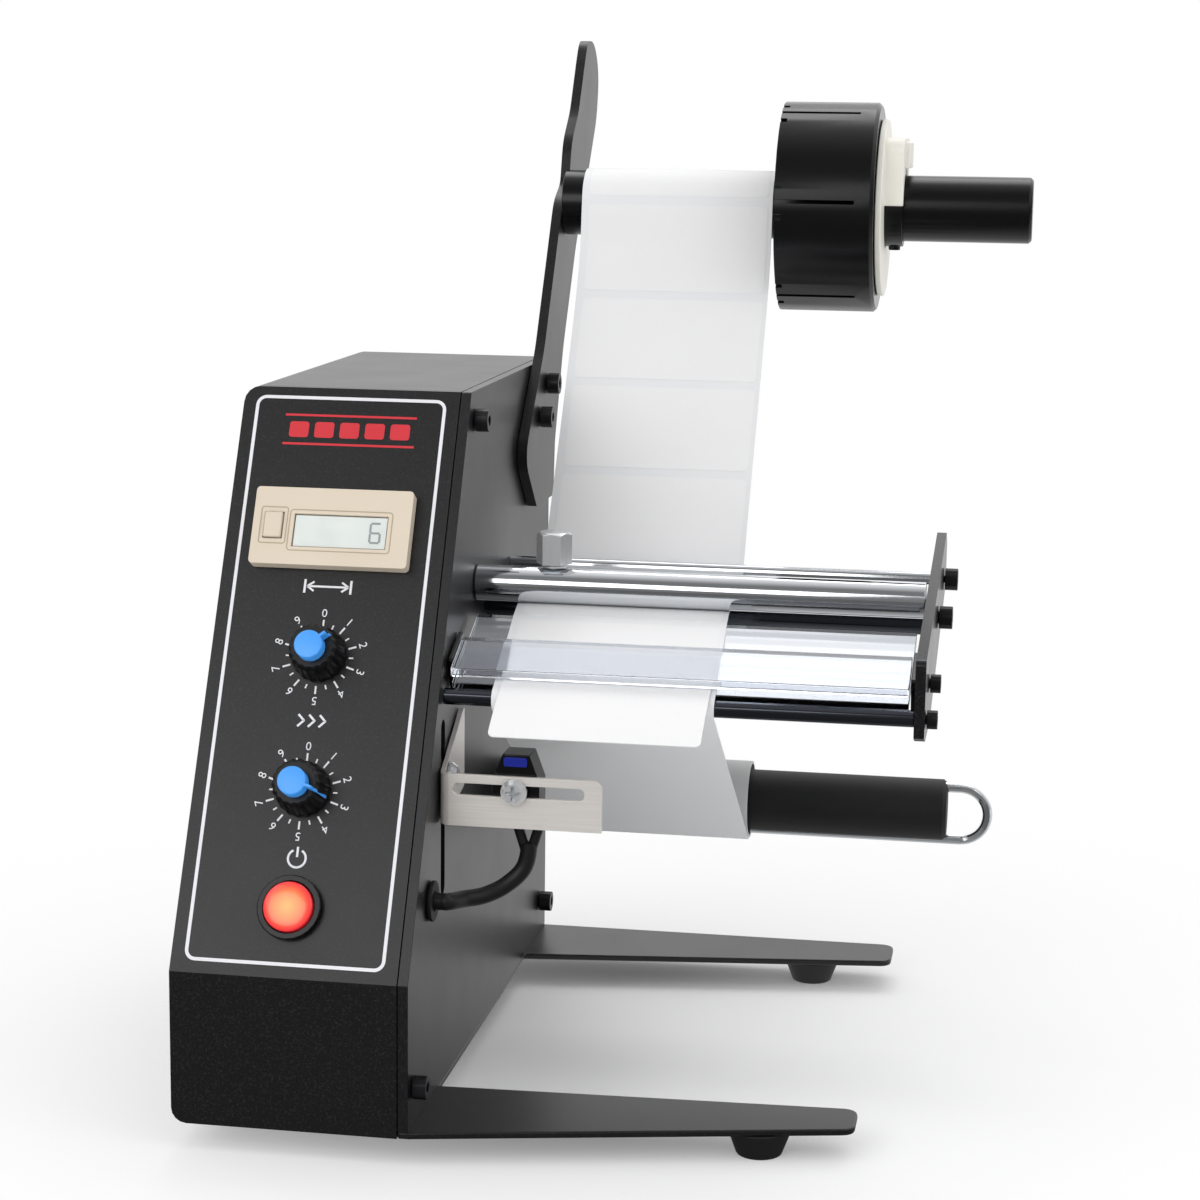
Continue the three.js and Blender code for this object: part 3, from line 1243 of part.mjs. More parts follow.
// The whole machine stands with its bounding box centred on the origin.
const part = new THREE.Group();
machine.updateMatrixWorld(true);
const extent = new THREE.Box3().setFromObject(machine, true);
const centre = extent.getCenter(new THREE.Vector3());
machine.position.set(-centre.x, -centre.y, -extent.min.z);
part.add(machine);

export default part;
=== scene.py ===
import json

import bmesh
import bpy
import numpy as np
from mathutils import Matrix, Vector


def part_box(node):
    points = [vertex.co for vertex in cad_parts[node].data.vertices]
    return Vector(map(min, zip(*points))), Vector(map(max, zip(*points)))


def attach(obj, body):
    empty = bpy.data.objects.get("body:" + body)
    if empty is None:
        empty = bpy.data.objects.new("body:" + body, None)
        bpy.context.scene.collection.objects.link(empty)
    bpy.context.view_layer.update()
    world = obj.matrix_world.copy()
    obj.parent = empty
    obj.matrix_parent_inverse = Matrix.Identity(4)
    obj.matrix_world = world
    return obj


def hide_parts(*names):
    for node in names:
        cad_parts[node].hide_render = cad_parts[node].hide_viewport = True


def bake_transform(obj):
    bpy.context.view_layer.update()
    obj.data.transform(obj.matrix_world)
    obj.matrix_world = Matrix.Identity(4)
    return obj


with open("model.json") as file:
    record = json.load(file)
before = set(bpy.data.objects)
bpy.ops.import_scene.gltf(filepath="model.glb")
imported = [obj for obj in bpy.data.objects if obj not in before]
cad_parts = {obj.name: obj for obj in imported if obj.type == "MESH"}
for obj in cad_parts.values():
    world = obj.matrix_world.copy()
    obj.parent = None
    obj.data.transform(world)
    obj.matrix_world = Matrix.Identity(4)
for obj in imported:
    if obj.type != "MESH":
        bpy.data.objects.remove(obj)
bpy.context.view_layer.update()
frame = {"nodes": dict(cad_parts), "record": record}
mm = 0.001


# The camera, where the photograph was taken from

view = {
    "place": (0.12772, -0.860228, 0.29675),
    "yaw": 9.497,        # degrees to the left of straight ahead
    "pitch": -10.136,
    "roll": -0.750,
    "lens": 82.19,       # on a 36 mm wide sensor
}


def aimedMatrix(place, yaw, pitch, roll):
    # forward = (-sin yaw cos pitch, cos yaw cos pitch, sin pitch), then rolled about it
    y, p, r = np.radians([yaw, pitch, roll])
    forward = Vector((-np.sin(y) * np.cos(p), np.cos(y) * np.cos(p), np.sin(p)))
    level = Vector((np.cos(y), np.sin(y), 0))
    down = forward.cross(level)
    across = np.cos(r) * level + np.sin(r) * down
    below = np.cos(r) * down - np.sin(r) * level
    turned = Matrix((across, -below, -forward)).transposed().to_4x4()
    return Matrix.Translation(place) @ turned


camera = bpy.data.objects.new("camera", bpy.data.cameras.new("camera"))
bpy.context.scene.collection.objects.link(camera)
bpy.context.scene.camera = camera
camera.data.sensor_width = 36
camera.data.lens = view["lens"]
camera.matrix_world = aimedMatrix(view["place"], view["yaw"], view["pitch"], view["roll"])
bpy.context.scene.view_settings.view_transform = "Standard"


# Shader maths: a socket that takes part in Python sums

class Signal:
    def __init__(self, tree, socket):
        self.tree, self.socket = tree, socket

    def math(self, operation, *values, clamp=False):
        made = self.tree.nodes.new("ShaderNodeMath")
        made.operation, made.use_clamp = operation, clamp
        for slot, value in zip(made.inputs, values):
            feed(self.tree, slot, value)
        return Signal(self.tree, made.outputs[0])

    def __add__(self, other): return self.math("ADD", self, other)
    def __radd__(self, other): return self.math("ADD", other, self)
    def __sub__(self, other): return self.math("SUBTRACT", self, other)
    def __mul__(self, other): return self.math("MULTIPLY", self, other)
    def __rmul__(self, other): return self.math("MULTIPLY", other, self)
    def __truediv__(self, other): return self.math("DIVIDE", self, other)
    def __pow__(self, other): return self.math("POWER", self, other)
    def clipped(self): return self.math("ADD", self, 0.0, clamp=True)

    def ramp(self, low, high):
        # 0 below low, 1 above high, straight between them
        return ((self - low) / (high - low)).clipped()


def feed(tree, slot, value):
    # a signal is linked to the slot, anything else becomes its value
    if isinstance(value, Signal):
        tree.links.new(value.socket, slot)
    elif value is not None:
        if hasattr(value, "__len__") and len(value) == 3 and slot.type == "RGBA":
            value = (*value, 1.0)
        slot.default_value = value


class Finish:
    # one material: plain values go straight on the shader, signals are linked
    def __init__(self, name, **plain):
        self.material = bpy.data.materials.new(name)
        self.material.use_nodes = True
        self.tree = self.material.node_tree
        self.shader = self.tree.nodes["Principled BSDF"]
        self.set(**plain)

    def set(self, **values):
        for key, value in values.items():
            label = " ".join(w.capitalize() for w in key.split("_")).replace("Ior", "IOR")
            feed(self.tree, self.shader.inputs[label], value)
        return self

    def node(self, kind, settings=None, inputs=None, output=0):
        made = self.tree.nodes.new("ShaderNode" + kind)
        for key, value in (settings or {}).items():
            if key == "stops":
                ramp = made.color_ramp
                while len(ramp.elements) < len(value):
                    ramp.elements.new(0.5)
                for stop, (at, shade) in zip(ramp.elements, value):
                    stop.position, stop.color = at, (*shade, 1.0)
            else:
                setattr(made, key, value)
        for key, value in (inputs or {}).items():
            feed(self.tree, made.inputs[key], value)
        return Signal(self.tree, made.outputs[output])

    def place(self, scale=(1, 1, 1), start=(0, 0, 0)):
        # object coordinates, in metres, moved and scaled for one pattern
        here = self.node("TexCoord", output=3)
        return self.node("Mapping", inputs={
            "Vector": here, "Location": start, "Scale": scale})

    def noise(self, size, detail=2.0, roughness=0.5, scale=(1, 1, 1)):
        # fine noise from 0 to 1 whose blotches are about size metres across
        return self.node("TexNoise", inputs={
            "Vector": self.place(scale), "Scale": 1 / size, "Detail": detail,
            "Roughness": roughness})

    def mixed(self, mask, first, second):
        # the first colour where the mask is 0, the second where it is 1
        made = self.tree.nodes.new("ShaderNodeMix")
        made.data_type = "RGBA"
        for slot, value in zip((made.inputs[0], made.inputs[6], made.inputs[7]),
                               (mask, first, second)):
            feed(self.tree, slot, value)
        return Signal(self.tree, made.outputs[2])

    def bump(self, height, depth, strength):
        return self.node("Bump", inputs={
            "Height": height, "Distance": depth, "Strength": strength})


def shade(code):
    # a colour written as in a picture, such as "2b2a30", as the linear values a shader reads
    parts = np.array([int(code[i:i + 2], 16) for i in (0, 2, 4)]) / 255
    linear = np.where(parts <= 0.04045, parts / 12.92, ((parts + 0.055) / 1.055) ** 2.4)
    return tuple(float(v) for v in linear)


# Finishes

coat = {"dark": "0f0f11", "pale": "25252a", "grain": 0.7 * mm, "depth": 0.035 * mm}


def powderCoat(name, roughness):
    # black powder coat: pale specks where the grain stands up, and the same grain as bump
    made = Finish(name, specular_ior_level=0.5)
    grain = made.noise(coat["grain"], 3.0, 0.62)
    cloud = made.noise(30 * coat["grain"], 2.0)
    specks = grain.ramp(0.52, 0.74)
    return made.set(
        base_color=made.mixed(specks, shade(coat["dark"]), shade(coat["pale"])),
        roughness=roughness + 0.10 * (grain - 0.5) + 0.06 * cloud,
        normal=made.bump(grain, coat["depth"], 0.6))


def mouldedPlastic(name, dark, pale, roughness, texture=0.6 * mm, depth=0.012 * mm, **plain):
    # moulded plastic: a little colour drift over tens of millimetres and a fine skin
    made = Finish(name, **plain)
    skin = made.noise(texture, 2.0, 0.5)
    drift = made.noise(40 * texture, 2.0)
    return made.set(
        base_color=made.mixed(drift, shade(dark), shade(pale)),
        roughness=roughness + 0.08 * (skin - 0.5) + 0.05 * drift,
        normal=made.bump(skin, depth, 0.5))


def drawnMetal(name, dark, pale, roughness, along, grain=0.5 * mm, depth=0.004 * mm,
               metallic=1.0):
    # metal with drawing or brushing lines: noise stretched forty times along one axis
    made = Finish(name, metallic=metallic)
    stretched = tuple(1 / 40 if axis == along else 1.0 for axis in "xyz")
    lines = made.noise(grain, 3.0, 0.6, stretched)
    smear = made.noise(25 * mm, 2.0)
    return made.set(
        base_color=made.mixed(lines, shade(dark), shade(pale)),
        roughness=roughness + 0.10 * (lines - 0.5) + 0.05 * smear,
        normal=made.bump(lines, depth, 0.5))


def paper(name, dark, pale, roughness, sheen, **plain):
    # paper: soft fibres a millimetre long over a slow unevenness
    made = Finish(name, sheen_weight=sheen, **plain)
    fibres = made.noise(0.8 * mm, 4.0, 0.65)
    slow = made.noise(18 * mm, 2.0)
    return made.set(
        base_color=made.mixed(0.6 * fibres + 0.4 * slow, shade(dark), shade(pale)),
        roughness=roughness + 0.08 * slow,
        normal=made.bump(fibres, 0.01 * mm, 0.4))


def clearSheet():
    # clear sheet with a blue-grey body and the faint rub marks of use
    made = Finish("clearSheet", transmission_weight=1.0, ior=1.49,
                  base_color=shade("e7ebf2"))
    rubs = made.noise(1.2 * mm, 3.0, 0.6, (0.05, 1.0, 1.0))
    return made.set(roughness=0.03 + 0.08 * rubs.ramp(0.55, 0.8))


def displayGlass():
    # grey display: a slow random change about 9 mm across, under a clear gloss coat
    made = Finish("displayGlass", coat_weight=1.0, coat_roughness=0.04, roughness=0.35)
    cloud = made.noise(9 * mm, 1.0)
    return made.set(base_color=made.mixed(cloud, shade("d3dad6"), shade("e6ebe8")))


def lensFinish():
    # lit lens: its own attribute runs from 0 in the middle to 1 at the rim
    made = Finish("lampLens", roughness=0.28, coat_weight=0.6, coat_roughness=0.08,
                  emission_strength=0.42)
    rim = made.node("Attribute", {"attribute_name": "rim"}, output=2)
    colour = made.node("ValToRGB", {"stops": [
        (0.0, shade("f9994e")), (0.55, shade("f8743a")), (0.86, shade("ef3f33")),
        (1.0, shade("c2202a"))]}, {"Fac": rim})
    return made.set(base_color=colour, emission_color=colour)


def woundPaper(centre):
    # wound strip: thin rings in its ends, from the distance to the mandrel's axis
    made = Finish("woundPaper", sheen_weight=0.1)
    axes = made.tree.nodes.new("ShaderNodeSeparateXYZ")
    made.tree.links.new(made.place(start=(0, -centre[0], -centre[1])).socket, axes.inputs[0])
    y, z = (Signal(made.tree, axes.outputs[i]) for i in (1, 2))
    distance = (y * y + z * z) ** 0.5
    sheet = 0.22 * mm
    wave = distance * (2 * np.pi / sheet)
    rings = wave.math("SINE", wave)
    return made.set(base_color=made.mixed(rings.ramp(-1, 1), shade("cfd0d0"), shade("ececea")),
                    roughness=0.55, normal=made.bump(rings, 0.02 * mm, 0.3))


def studioWhite(name, floor):
    # pale floor: takes shadows near the object and is seen as plain white from near to far
    made = Finish(name, roughness=0.9, specular_ior_level=0.1,
                  base_color=shade(floor["shade"]))
    axes = made.node("SeparateXYZ", inputs={"Vector": made.place()})
    across = Signal(made.tree, axes.socket.node.outputs[1])
    distance = (axes * axes + across * across) ** 0.5
    rays = made.tree.nodes.new("ShaderNodeLightPath")
    seen = Signal(made.tree, rays.outputs["Is Camera Ray"])
    seen = seen + Signal(made.tree, rays.outputs["Is Transmission Ray"])
    # mirrored, it is dark in front of the machine and pale behind it
    mirrored = Signal(made.tree, rays.outputs["Is Glossy Ray"])
    pale = floor["before"] + (floor["behind"] - floor["before"]) * across.ramp(*floor["turn"])
    glow = made.node("Emission", inputs={
        "Color": (1, 1, 1), "Strength": 1.0 + mirrored * (pale - 1.0)})
    lit = Signal(made.tree, made.shader.outputs[0])
    both = made.tree.nodes.new("ShaderNodeMixShader")
    plain = distance.ramp(floor["near"], floor["far"]) * seen + mirrored
    for slot, value in zip(both.inputs, (plain.clipped(), lit, glow)):
        feed(made.tree, slot, value)
    made.tree.links.new(both.outputs[0], made.tree.nodes["Material Output"].inputs["Surface"])
    return made


# Pieces are grids of points: rows along a profile or a path, columns round or across it

def pieceFrom(name, points, faces):
    mesh = bpy.data.meshes.new(name)
    mesh.from_pydata(np.asarray(points, float).reshape(-1, 3).tolist(), [],
                     [list(map(int, f)) for f in faces])
    piece = bpy.data.objects.new(name, mesh)
    bpy.context.scene.collection.objects.link(piece)
    return piece


def tidied(piece, weld):
    # doubles merged, such as the points of a pole, and faces turned outward
    made = bmesh.new()
    made.from_mesh(piece.data)
    bmesh.ops.remove_doubles(made, verts=made.verts, dist=weld)
    bmesh.ops.dissolve_degenerate(made, edges=made.edges, dist=weld)
    bmesh.ops.recalc_face_normals(made, faces=made.faces)
    made.to_mesh(piece.data)
    made.free()
    return piece


def gridPiece(name, grid, weld=0.001 * mm):
    # grid[row, column] joined to its neighbours, the last column to the first
    rows, columns = grid.shape[:2]
    row, column = np.meshgrid(np.arange(rows - 1), np.arange(columns), indexing="ij")
    after = (column + 1) % columns
    faces = np.stack([row * columns + column, row * columns + after,
                      (row + 1) * columns + after, (row + 1) * columns + column], -1)
    return tidied(pieceFrom(name, grid, faces.reshape(-1, 4)), weld)


# per axis, two directions across it and the one along it
axisFrames = {"x": np.array([[0, 1, 0], [0, 0, 1], [1, 0, 0]], float)}


def turnedPiece(name, axis, centre, profile, sides, outline=None):
    # point = centre + radius (cos t, sin t) + station along the axis, with the radius of
    # each profile row times outline(row, t) where one is given
    first, second, along = axisFrames[axis]
    turn = np.linspace(0, 2 * np.pi, sides, endpoint=False)
    radius, station = np.array(profile, float).T
    radii = radius[:, None] * np.ones(sides)
    if outline:
        radii = np.stack([radius[i] * outline(i, turn) for i in range(len(radius))])
    grid = (np.asarray(centre, float) + (radii * np.cos(turn))[..., None] * first
            + (radii * np.sin(turn))[..., None] * second
            + station[:, None, None] * along)
    return gridPiece(name, grid)


def dressed(piece, body, finish, edge=0.0, angle=30, replaces=()):
    # sharp edges kept above angle, then rounded by edge, in the finish of a material slot
    piece.data.materials.clear()
    piece.data.materials.append(finish.material)
    piece.data.shade_smooth()
    piece.data.set_sharp_from_angle(angle=np.radians(angle))
    if edge:
        bevel = piece.modifiers.new("softEdge", "BEVEL")
        bevel.width, bevel.segments, bevel.limit_method = edge, 2, "ANGLE"
        bevel.angle_limit, bevel.harden_normals = np.radians(angle), True
        bevel.miter_outer = "MITER_ARC"
        even = piece.modifiers.new("evenNormals", "WEIGHTED_NORMAL")
        even.keep_sharp, even.weight = True, 90
    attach(piece, body)
    if replaces:
        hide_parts(*replaces)
    return piece


def camel(node):
    # a piece's name from its node's, such as rollArm from roll_arm
    first, *rest = node.split("_")
    return first + "".join(word.capitalize() for word in rest)


def copyOf(node, flatness=0.8):
    # a CAD node's loose triangles, merged, and its faces within flatness degrees joined
    source = frame["nodes"][node]
    made = bmesh.new()
    made.from_mesh(source.data)
    bmesh.ops.remove_doubles(made, verts=made.verts, dist=0.002 * mm)
    bmesh.ops.dissolve_limit(made, angle_limit=np.radians(flatness), verts=made.verts,
                             edges=made.edges)
    mesh = bpy.data.meshes.new(camel(node))
    made.to_mesh(mesh)
    made.free()
    piece = bpy.data.objects.new(camel(node), mesh)
    bpy.context.scene.collection.objects.link(piece)
    return piece


def span(node):
    # the low corner, high corner and middle of a node's box
    low, high = (np.array(v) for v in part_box(node))
    return low, high, (low + high) / 2


bodyOf = {node: body for body, nodes in frame["record"]["behaviour"]["bodies"].items()
          for node in nodes}


def centripetal(points, steps):
    # a curve through the points, its knots apart by the square root of their distances
    points = np.array(points, float)
    points = np.concatenate([[2 * points[0] - points[1]], points,
                             [2 * points[-1] - points[-2]]])
    apart = np.linalg.norm(np.diff(points, axis=0), axis=1) ** 0.5
    knots = np.concatenate([[0], np.cumsum(apart)])
    rows = []
    for i in range(1, len(points) - 2):
        t = np.linspace(knots[i], knots[i + 1], steps, endpoint=False)[:, None]
        k, p = knots[i - 1:i + 3], points[i - 1:i + 3]
        a = [((k[j + 1] - t) * p[j] + (t - k[j]) * p[j + 1]) / (k[j + 1] - k[j])
             for j in range(3)]
        b = [((k[j + 2] - t) * a[j] + (t - k[j]) * a[j + 1]) / (k[j + 2] - k[j])
             for j in range(2)]
        rows.append(((k[2] - t) * b[0] + (t - k[1]) * b[1]) / (k[2] - k[1]))
    return np.concatenate(rows + [points[-2:-1]])


def tube(name, path, radius, sides=20):
    # circles round a path, carried along it without twist and closed at both ends
    path = np.array(path, float)
    way = np.gradient(path, axis=0)
    way /= np.linalg.norm(way, axis=1)[:, None]
    side = np.cross(way[0], (0.3, 0.5, 0.8))
    rings = []
    turn = np.linspace(0, 2 * np.pi, sides, endpoint=False)
    for point, ahead in zip(path, way):
        side = side - ahead * (side @ ahead)
        side /= np.linalg.norm(side)
        up = np.cross(ahead, side)
        rings.append(point + radius * (np.cos(turn)[:, None] * side
                                       + np.sin(turn)[:, None] * up))
    ends = [np.repeat(path[[i]], sides, 0) for i in (0, -1)]
    return gridPiece(name, np.stack([ends[0]] + rings + [ends[1]]))


def lengthOf(points):
    return float(np.linalg.norm(np.diff(points, axis=0), axis=1).sum())


# The sensor's cable, whose leads follow the sensor's slide. Its route, and
# its leads' points as (distance to the side, height), are in millimetres
cable = {
    "radius": 2.5 * mm, "leadRadius": 1.5 * mm, "steps": 8, "leadSteps": 6,
    "route": [(-57.15, -112.31, 70.5), (-50.0, -112.31, 70.5), (-44.65, -112.31, 70.5),
              (-42.4, -112.31, 70.5), (-41.15, -112.31, 70.5), (-37.38, -106.62, 70.0),
              (-32.22, -102.2, 70.16), (-26.55, -99.04, 72.68), (-21.64, -97.14, 77.56),
              (-20.2, -96.6, 83.2), (-20.35, -96.51, 85.2)],
    "leads": [(3.4, 92.3), (3.3, 91.0), (2.2, 87.2), (1.1, 83.8), (0.6, 82.0)],
    "split": 7,     # the route's point where the bracket's part ends
}
cableSkin = mouldedPlastic("cableSkin", "0d0d0f", "17171a", 0.42)
route = np.array(cable["route"]) * mm
split = cable["split"]
wholePath = centripetal(route, cable["steps"])
cut = cable["steps"] * split
lowPath, highPath = wholePath[:cut + 1], wholePath[cut:]
cableLow = tube("sensorCableLow", lowPath, cable["radius"])
cableHigh = tube("sensorCableHigh", highPath, cable["radius"])
leads = []
for sign in (-1, 1):
    path = [(route[-1][0] + sign * x * mm, route[-1][1], z * mm) for x, z in cable["leads"]]
    leads.append(tube("sensorLead" + ("Left" if sign < 0 else "Right"),
                      centripetal(path, cable["leadSteps"]), cable["leadRadius"]))
for piece in leads + [cableLow, cableHigh]:
    piece.data.materials.append(cableSkin.material)
    piece.data.shade_smooth()
    piece.data.set_sharp_from_angle(angle=np.radians(50))
for piece in leads:
    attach(piece, "sensor")
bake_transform(cableLow)
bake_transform(cableHigh)
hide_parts("sensor_cable")
print("cable laid,", round(lengthOf(wholePath) / mm), "mm")


# The control face: its own axes are x across, s up the slope and n outward
panel = {
    "tilt": 26.89,          # degrees that the face leans back
    "bend": 53.35 * mm,     # height of the fold at its foot
    "ink": 0.05 * mm,
    "frame": (3.9 * mm, 3.5 * mm, 2.8 * mm),     # inset at the sides, foot and top
    "frameLine": 1.0 * mm, "frameCorner": 3.2 * mm,
    "numbers": 13.4 * mm, "numberSize": 3.5 * mm,
    "longTick": (8.9 * mm, 11.3 * mm, 0.55 * mm),
    "shortTick": (8.9 * mm, 10.2 * mm, 0.45 * mm),
}
faceLow, faceHigh, faceMiddle = span("front_panel")
lean = np.radians(panel["tilt"])
acrossAxis = np.array([1.0, 0.0, 0.0])
slopeAxis = np.array([0.0, np.sin(lean), np.cos(lean)])
outAxis = np.array([0.0, -np.cos(lean), np.sin(lean)])
faceOrigin = np.array([faceMiddle[0], faceLow[1], panel["bend"]])
axisFrames["n"] = np.stack([acrossAxis, slopeAxis, outAxis])


def onFace(points):
    # origin + x across + s slope + n out
    return (faceOrigin + points[..., :1] * acrossAxis + points[..., 1:2] * slopeAxis
            + points[..., 2:3] * outAxis)


def faceCentre(node):
    # where the middle of a CAD node's box lies in the face's own axes
    away = span(node)[2] - faceOrigin
    return np.array([away @ acrossAxis, away @ slopeAxis, away @ outAxis])


def roundedBox(centre, size, corner, steps=8):
    # four quarter circles of the corner's radius, one after the other
    half = np.array(size) / 2 - corner
    turn = np.linspace(0, np.pi / 2, steps)
    quarters = [np.array(centre) + half * sign + corner * np.stack(
        [np.cos(turn + start), np.sin(turn + start)], -1)
        for sign, start in (((1, 1), 0), ((-1, 1), np.pi / 2), ((-1, -1), np.pi),
                            ((1, -1), 3 * np.pi / 2))]
    return np.concatenate(quarters)


def printedRing(name, outer, inner, low, high):
    # a flat ring between two outlines, from n = low to n = high
    rows = [(outer, low), (outer, high), (inner, high), (inner, low), (outer, low)]
    grid = np.stack([np.column_stack([line, np.full(len(line), n)]) for line, n in rows])
    return gridPiece(name, onFace(grid))


def printedBars(name, bars, low, high):
    # each bar: middle (x, s), direction in radians, length and width
    bars = np.array(bars, float)
    way = np.stack([np.cos(bars[:, 2]), np.sin(bars[:, 2])], -1)
    side = np.stack([-way[:, 1], way[:, 0]], -1)
    corners = np.array([(-1, -1), (1, -1), (1, 1), (-1, 1)]) / 2
    flat = (bars[:, None, :2] + corners[None, :, :1] * bars[:, None, 3:4] * way[:, None]
            + corners[None, :, 1:] * bars[:, None, 4:5] * side[:, None])
    points = np.concatenate([
        np.concatenate([flat, np.full(flat.shape[:2] + (1,), n)], -1) for n in (low, high)], 1)
    box = np.array([(3, 2, 1, 0), (4, 5, 6, 7), (0, 1, 5, 4), (1, 2, 6, 5), (2, 3, 7, 6),
                    (3, 0, 4, 7)])
    faces = (np.arange(len(bars))[:, None, None] * 8 + box).reshape(-1, 4)
    return pieceFrom(name, onFace(points.reshape(-1, 3)), faces)


def joined(name, pieces):
    # several meshes as one
    made = bmesh.new()
    for piece in pieces:
        made.from_mesh(piece.data)
    mesh = bpy.data.meshes.new(name)
    made.to_mesh(mesh)
    made.free()
    for piece in pieces:
        bpy.data.objects.remove(piece)
    piece = bpy.data.objects.new(name, mesh)
    bpy.context.scene.collection.objects.link(piece)
    return piece


def printedFigure(figure, place, turn, size, low, high):
    # one figure, centred on its place, its top turned outward from the dial's middle
    curve = bpy.data.curves.new("figure", "FONT")
    curve.body, curve.size, curve.extrude = figure, size, (high - low) / 2
    curve.align_x, curve.align_y, curve.resolution_u = "CENTER", "CENTER", 4
    source = bpy.data.objects.new("figure", curve)
    bpy.context.scene.collection.objects.link(source)
    mesh = bpy.data.meshes.new_from_object(
        source.evaluated_get(bpy.context.evaluated_depsgraph_get()))
    flat = np.zeros(len(mesh.vertices) * 3, np.float32)
    mesh.vertices.foreach_get("co", flat)
    flat = flat.reshape(-1, 3).astype(float)
    flat[:, :2] -= (flat[:, :2].min(0) + flat[:, :2].max(0)) / 2
    c, s = np.cos(turn), np.sin(turn)
    turned = np.column_stack([flat[:, 0] * c + flat[:, 1] * s + place[0],
                              flat[:, 1] * c - flat[:, 0] * s + place[1],
                              flat[:, 2] + (low + high) / 2])
    mesh.vertices.foreach_set("co", onFace(turned).astype(np.float32).ravel())
    piece = bpy.data.objects.new("figurePrint", mesh)
    bpy.context.scene.collection.objects.link(piece)
    bpy.data.objects.remove(source)
    return piece


def dialPrint(name, node):
    # ten figures clockwise from the top, a long tick under each and a short one between
    x, s, n = faceCentre(node)
    turns = np.radians(np.arange(20) * 18)
    ticks = []
    for i, turn in enumerate(turns):
        start, end, wide = panel["longTick" if i % 2 == 0 else "shortTick"]
        reach = (start + end) / 2
        ticks.append((x + reach * np.sin(turn), s + reach * np.cos(turn),
                      np.pi / 2 - turn, end - start, wide))
    figures = [printedFigure(str(i), (x + panel["numbers"] * np.sin(turn),
                                      s + panel["numbers"] * np.cos(turn)),
                             turn, panel["numberSize"], 0.0, panel["ink"])
               for i, turn in enumerate(turns[::2])]
    return joined(name, [printedBars("ticks", ticks, 0.0, panel["ink"])] + figures)


# Which finish and material slot each CAD node takes, and how far its edges are softened
black, smoothBlack = powderCoat("powderCoat", 0.33), powderCoat("smoothCoat", 0.22)
satin = mouldedPlastic("satinPlastic", "060608", "0a0a0c", 0.22, 1.2 * mm, 0.004 * mm,
                       specular_ior_level=0.36)
knobBlack = mouldedPlastic("knobPlastic", "08080a", "0e0e11", 0.38, specular_ior_level=0.4)
rubber = mouldedPlastic("rubberSkin", "101012", "19191b", 0.62, 0.4 * mm, 0.03 * mm)
screwBlack = mouldedPlastic("blackenedSteel", "161618", "222226", 0.36, metallic=0.4)
steel = drawnMetal("drawnSteel", "d6d1cb", "ece7e2", 0.30, "x", metallic=0.3)
headSteel = drawnMetal("headSteel", "d5d6d8", "eeeff1", 0.16, "z", 0.4 * mm, metallic=0.6)
darkBar = drawnMetal("darkBar", "43464c", "5a5e66", 0.12, "x", 0.8 * mm, 0.001 * mm)
bright = drawnMetal("polishedRod", "cfd2d6", "eceff2", 0.06, "x", 0.8 * mm, 0.0005 * mm)
cream = mouldedPlastic("creamPlastic", "eae8de", "f2f0e8", 0.42)
beige = mouldedPlastic("beigePlastic", "d3c5b1", "dccfbd", 0.45)
blue = mouldedPlastic("bluePlastic", "3491ee", "52a9fa", 0.32)
darkBlue = mouldedPlastic("darkBluePlastic", "0c1a78", "15289c", 0.18)
board = mouldedPlastic("boardMask", "1c4d2c", "2a6b3d", 0.4)
silver = drawnMetal("plainCase", "a9adb2", "c8ccd0", 0.38, "y")
label = paper("labelPaper", "e8e8e9", "efeff0", 0.52, 0.0)
liner = paper("linerPaper", "e3e4e6", "eaebec", 0.42, 0.0)
acrylic, display, lens = clearSheet(), displayGlass(), lensFinish()
wound = woundPaper(span("take_up_mandrel")[2][1:])

looks = {
    (black, "black_coat", 0.5 * mm): [
        "base_plate", "side_plate", "front_panel", "housing_cover", "roll_arm"],
    (smoothBlack, "black_coat", 0.25 * mm): ["end_plate"],
    (satin, "black_plastic", 0.3 * mm): [
        "roll_shaft", "roll_hub", "hub_collar", "guide_block_left", "guide_block_right",
        "label_sensor", "mains_inlet", "power_switch_body"],
    (knobBlack, "black_plastic", 0.25 * mm): ["length_knob", "speed_knob"],
    (rubber, "black_rubber", 0.4 * mm): [
        "foot_front_right", "foot_rear_right", "foot_front_left", "foot_rear_left",
        "take_up_mandrel", "cable_grommet"],
    (screwBlack, "black_screw", 0.15 * mm): [
        "side_plate_screw_top", "side_plate_screw_rear", "side_plate_screw_front",
        "arm_screw_upper", "arm_screw_lower", "end_screw_thin_rod",
        "end_screw_guide_bar", "end_screw_peel_bar", "end_screw_block"],
    (steel, "steel", 0.15 * mm): [
        "sensor_bracket", "length_potentiometer", "speed_potentiometer", "mandrel_bush"],
    (headSteel, "steel", 0.0): ["bracket_screw", "sensor_screw"],
    (darkBar, "black_screw", 0.25 * mm): ["guide_bar", "peel_bar"],
    (bright, "chrome", 0.25 * mm): ["chrome_rod", "thin_rod", "wire_clip"],
    (headSteel, "steel", 0.25 * mm): ["hex_thumbscrew"],
    (cream, "cream_plastic", 0.3 * mm): ["hub_lock_plate"],
    (beige, "beige_plastic", 0.3 * mm): ["counter_body", "counter_reset_button"],
    (display, "display", 0.1 * mm): ["counter_window"],
    (acrylic, "clear_acrylic", 0.25 * mm): ["lower_guide_plate", "upper_guide_strip"],
    (darkBlue, "blue_plastic", 0.15 * mm): ["sensor_window"],
    (board, "board", 0.2 * mm): ["control_board"],
    (silver, "silver_case", 0.4 * mm): ["gear_motor", "power_supply"],
}
for (finish, slotName, edge), nodes in looks.items():
    for node in nodes:
        dressed(copyOf(node), bodyOf[node], finish, edge, replaces=[node])
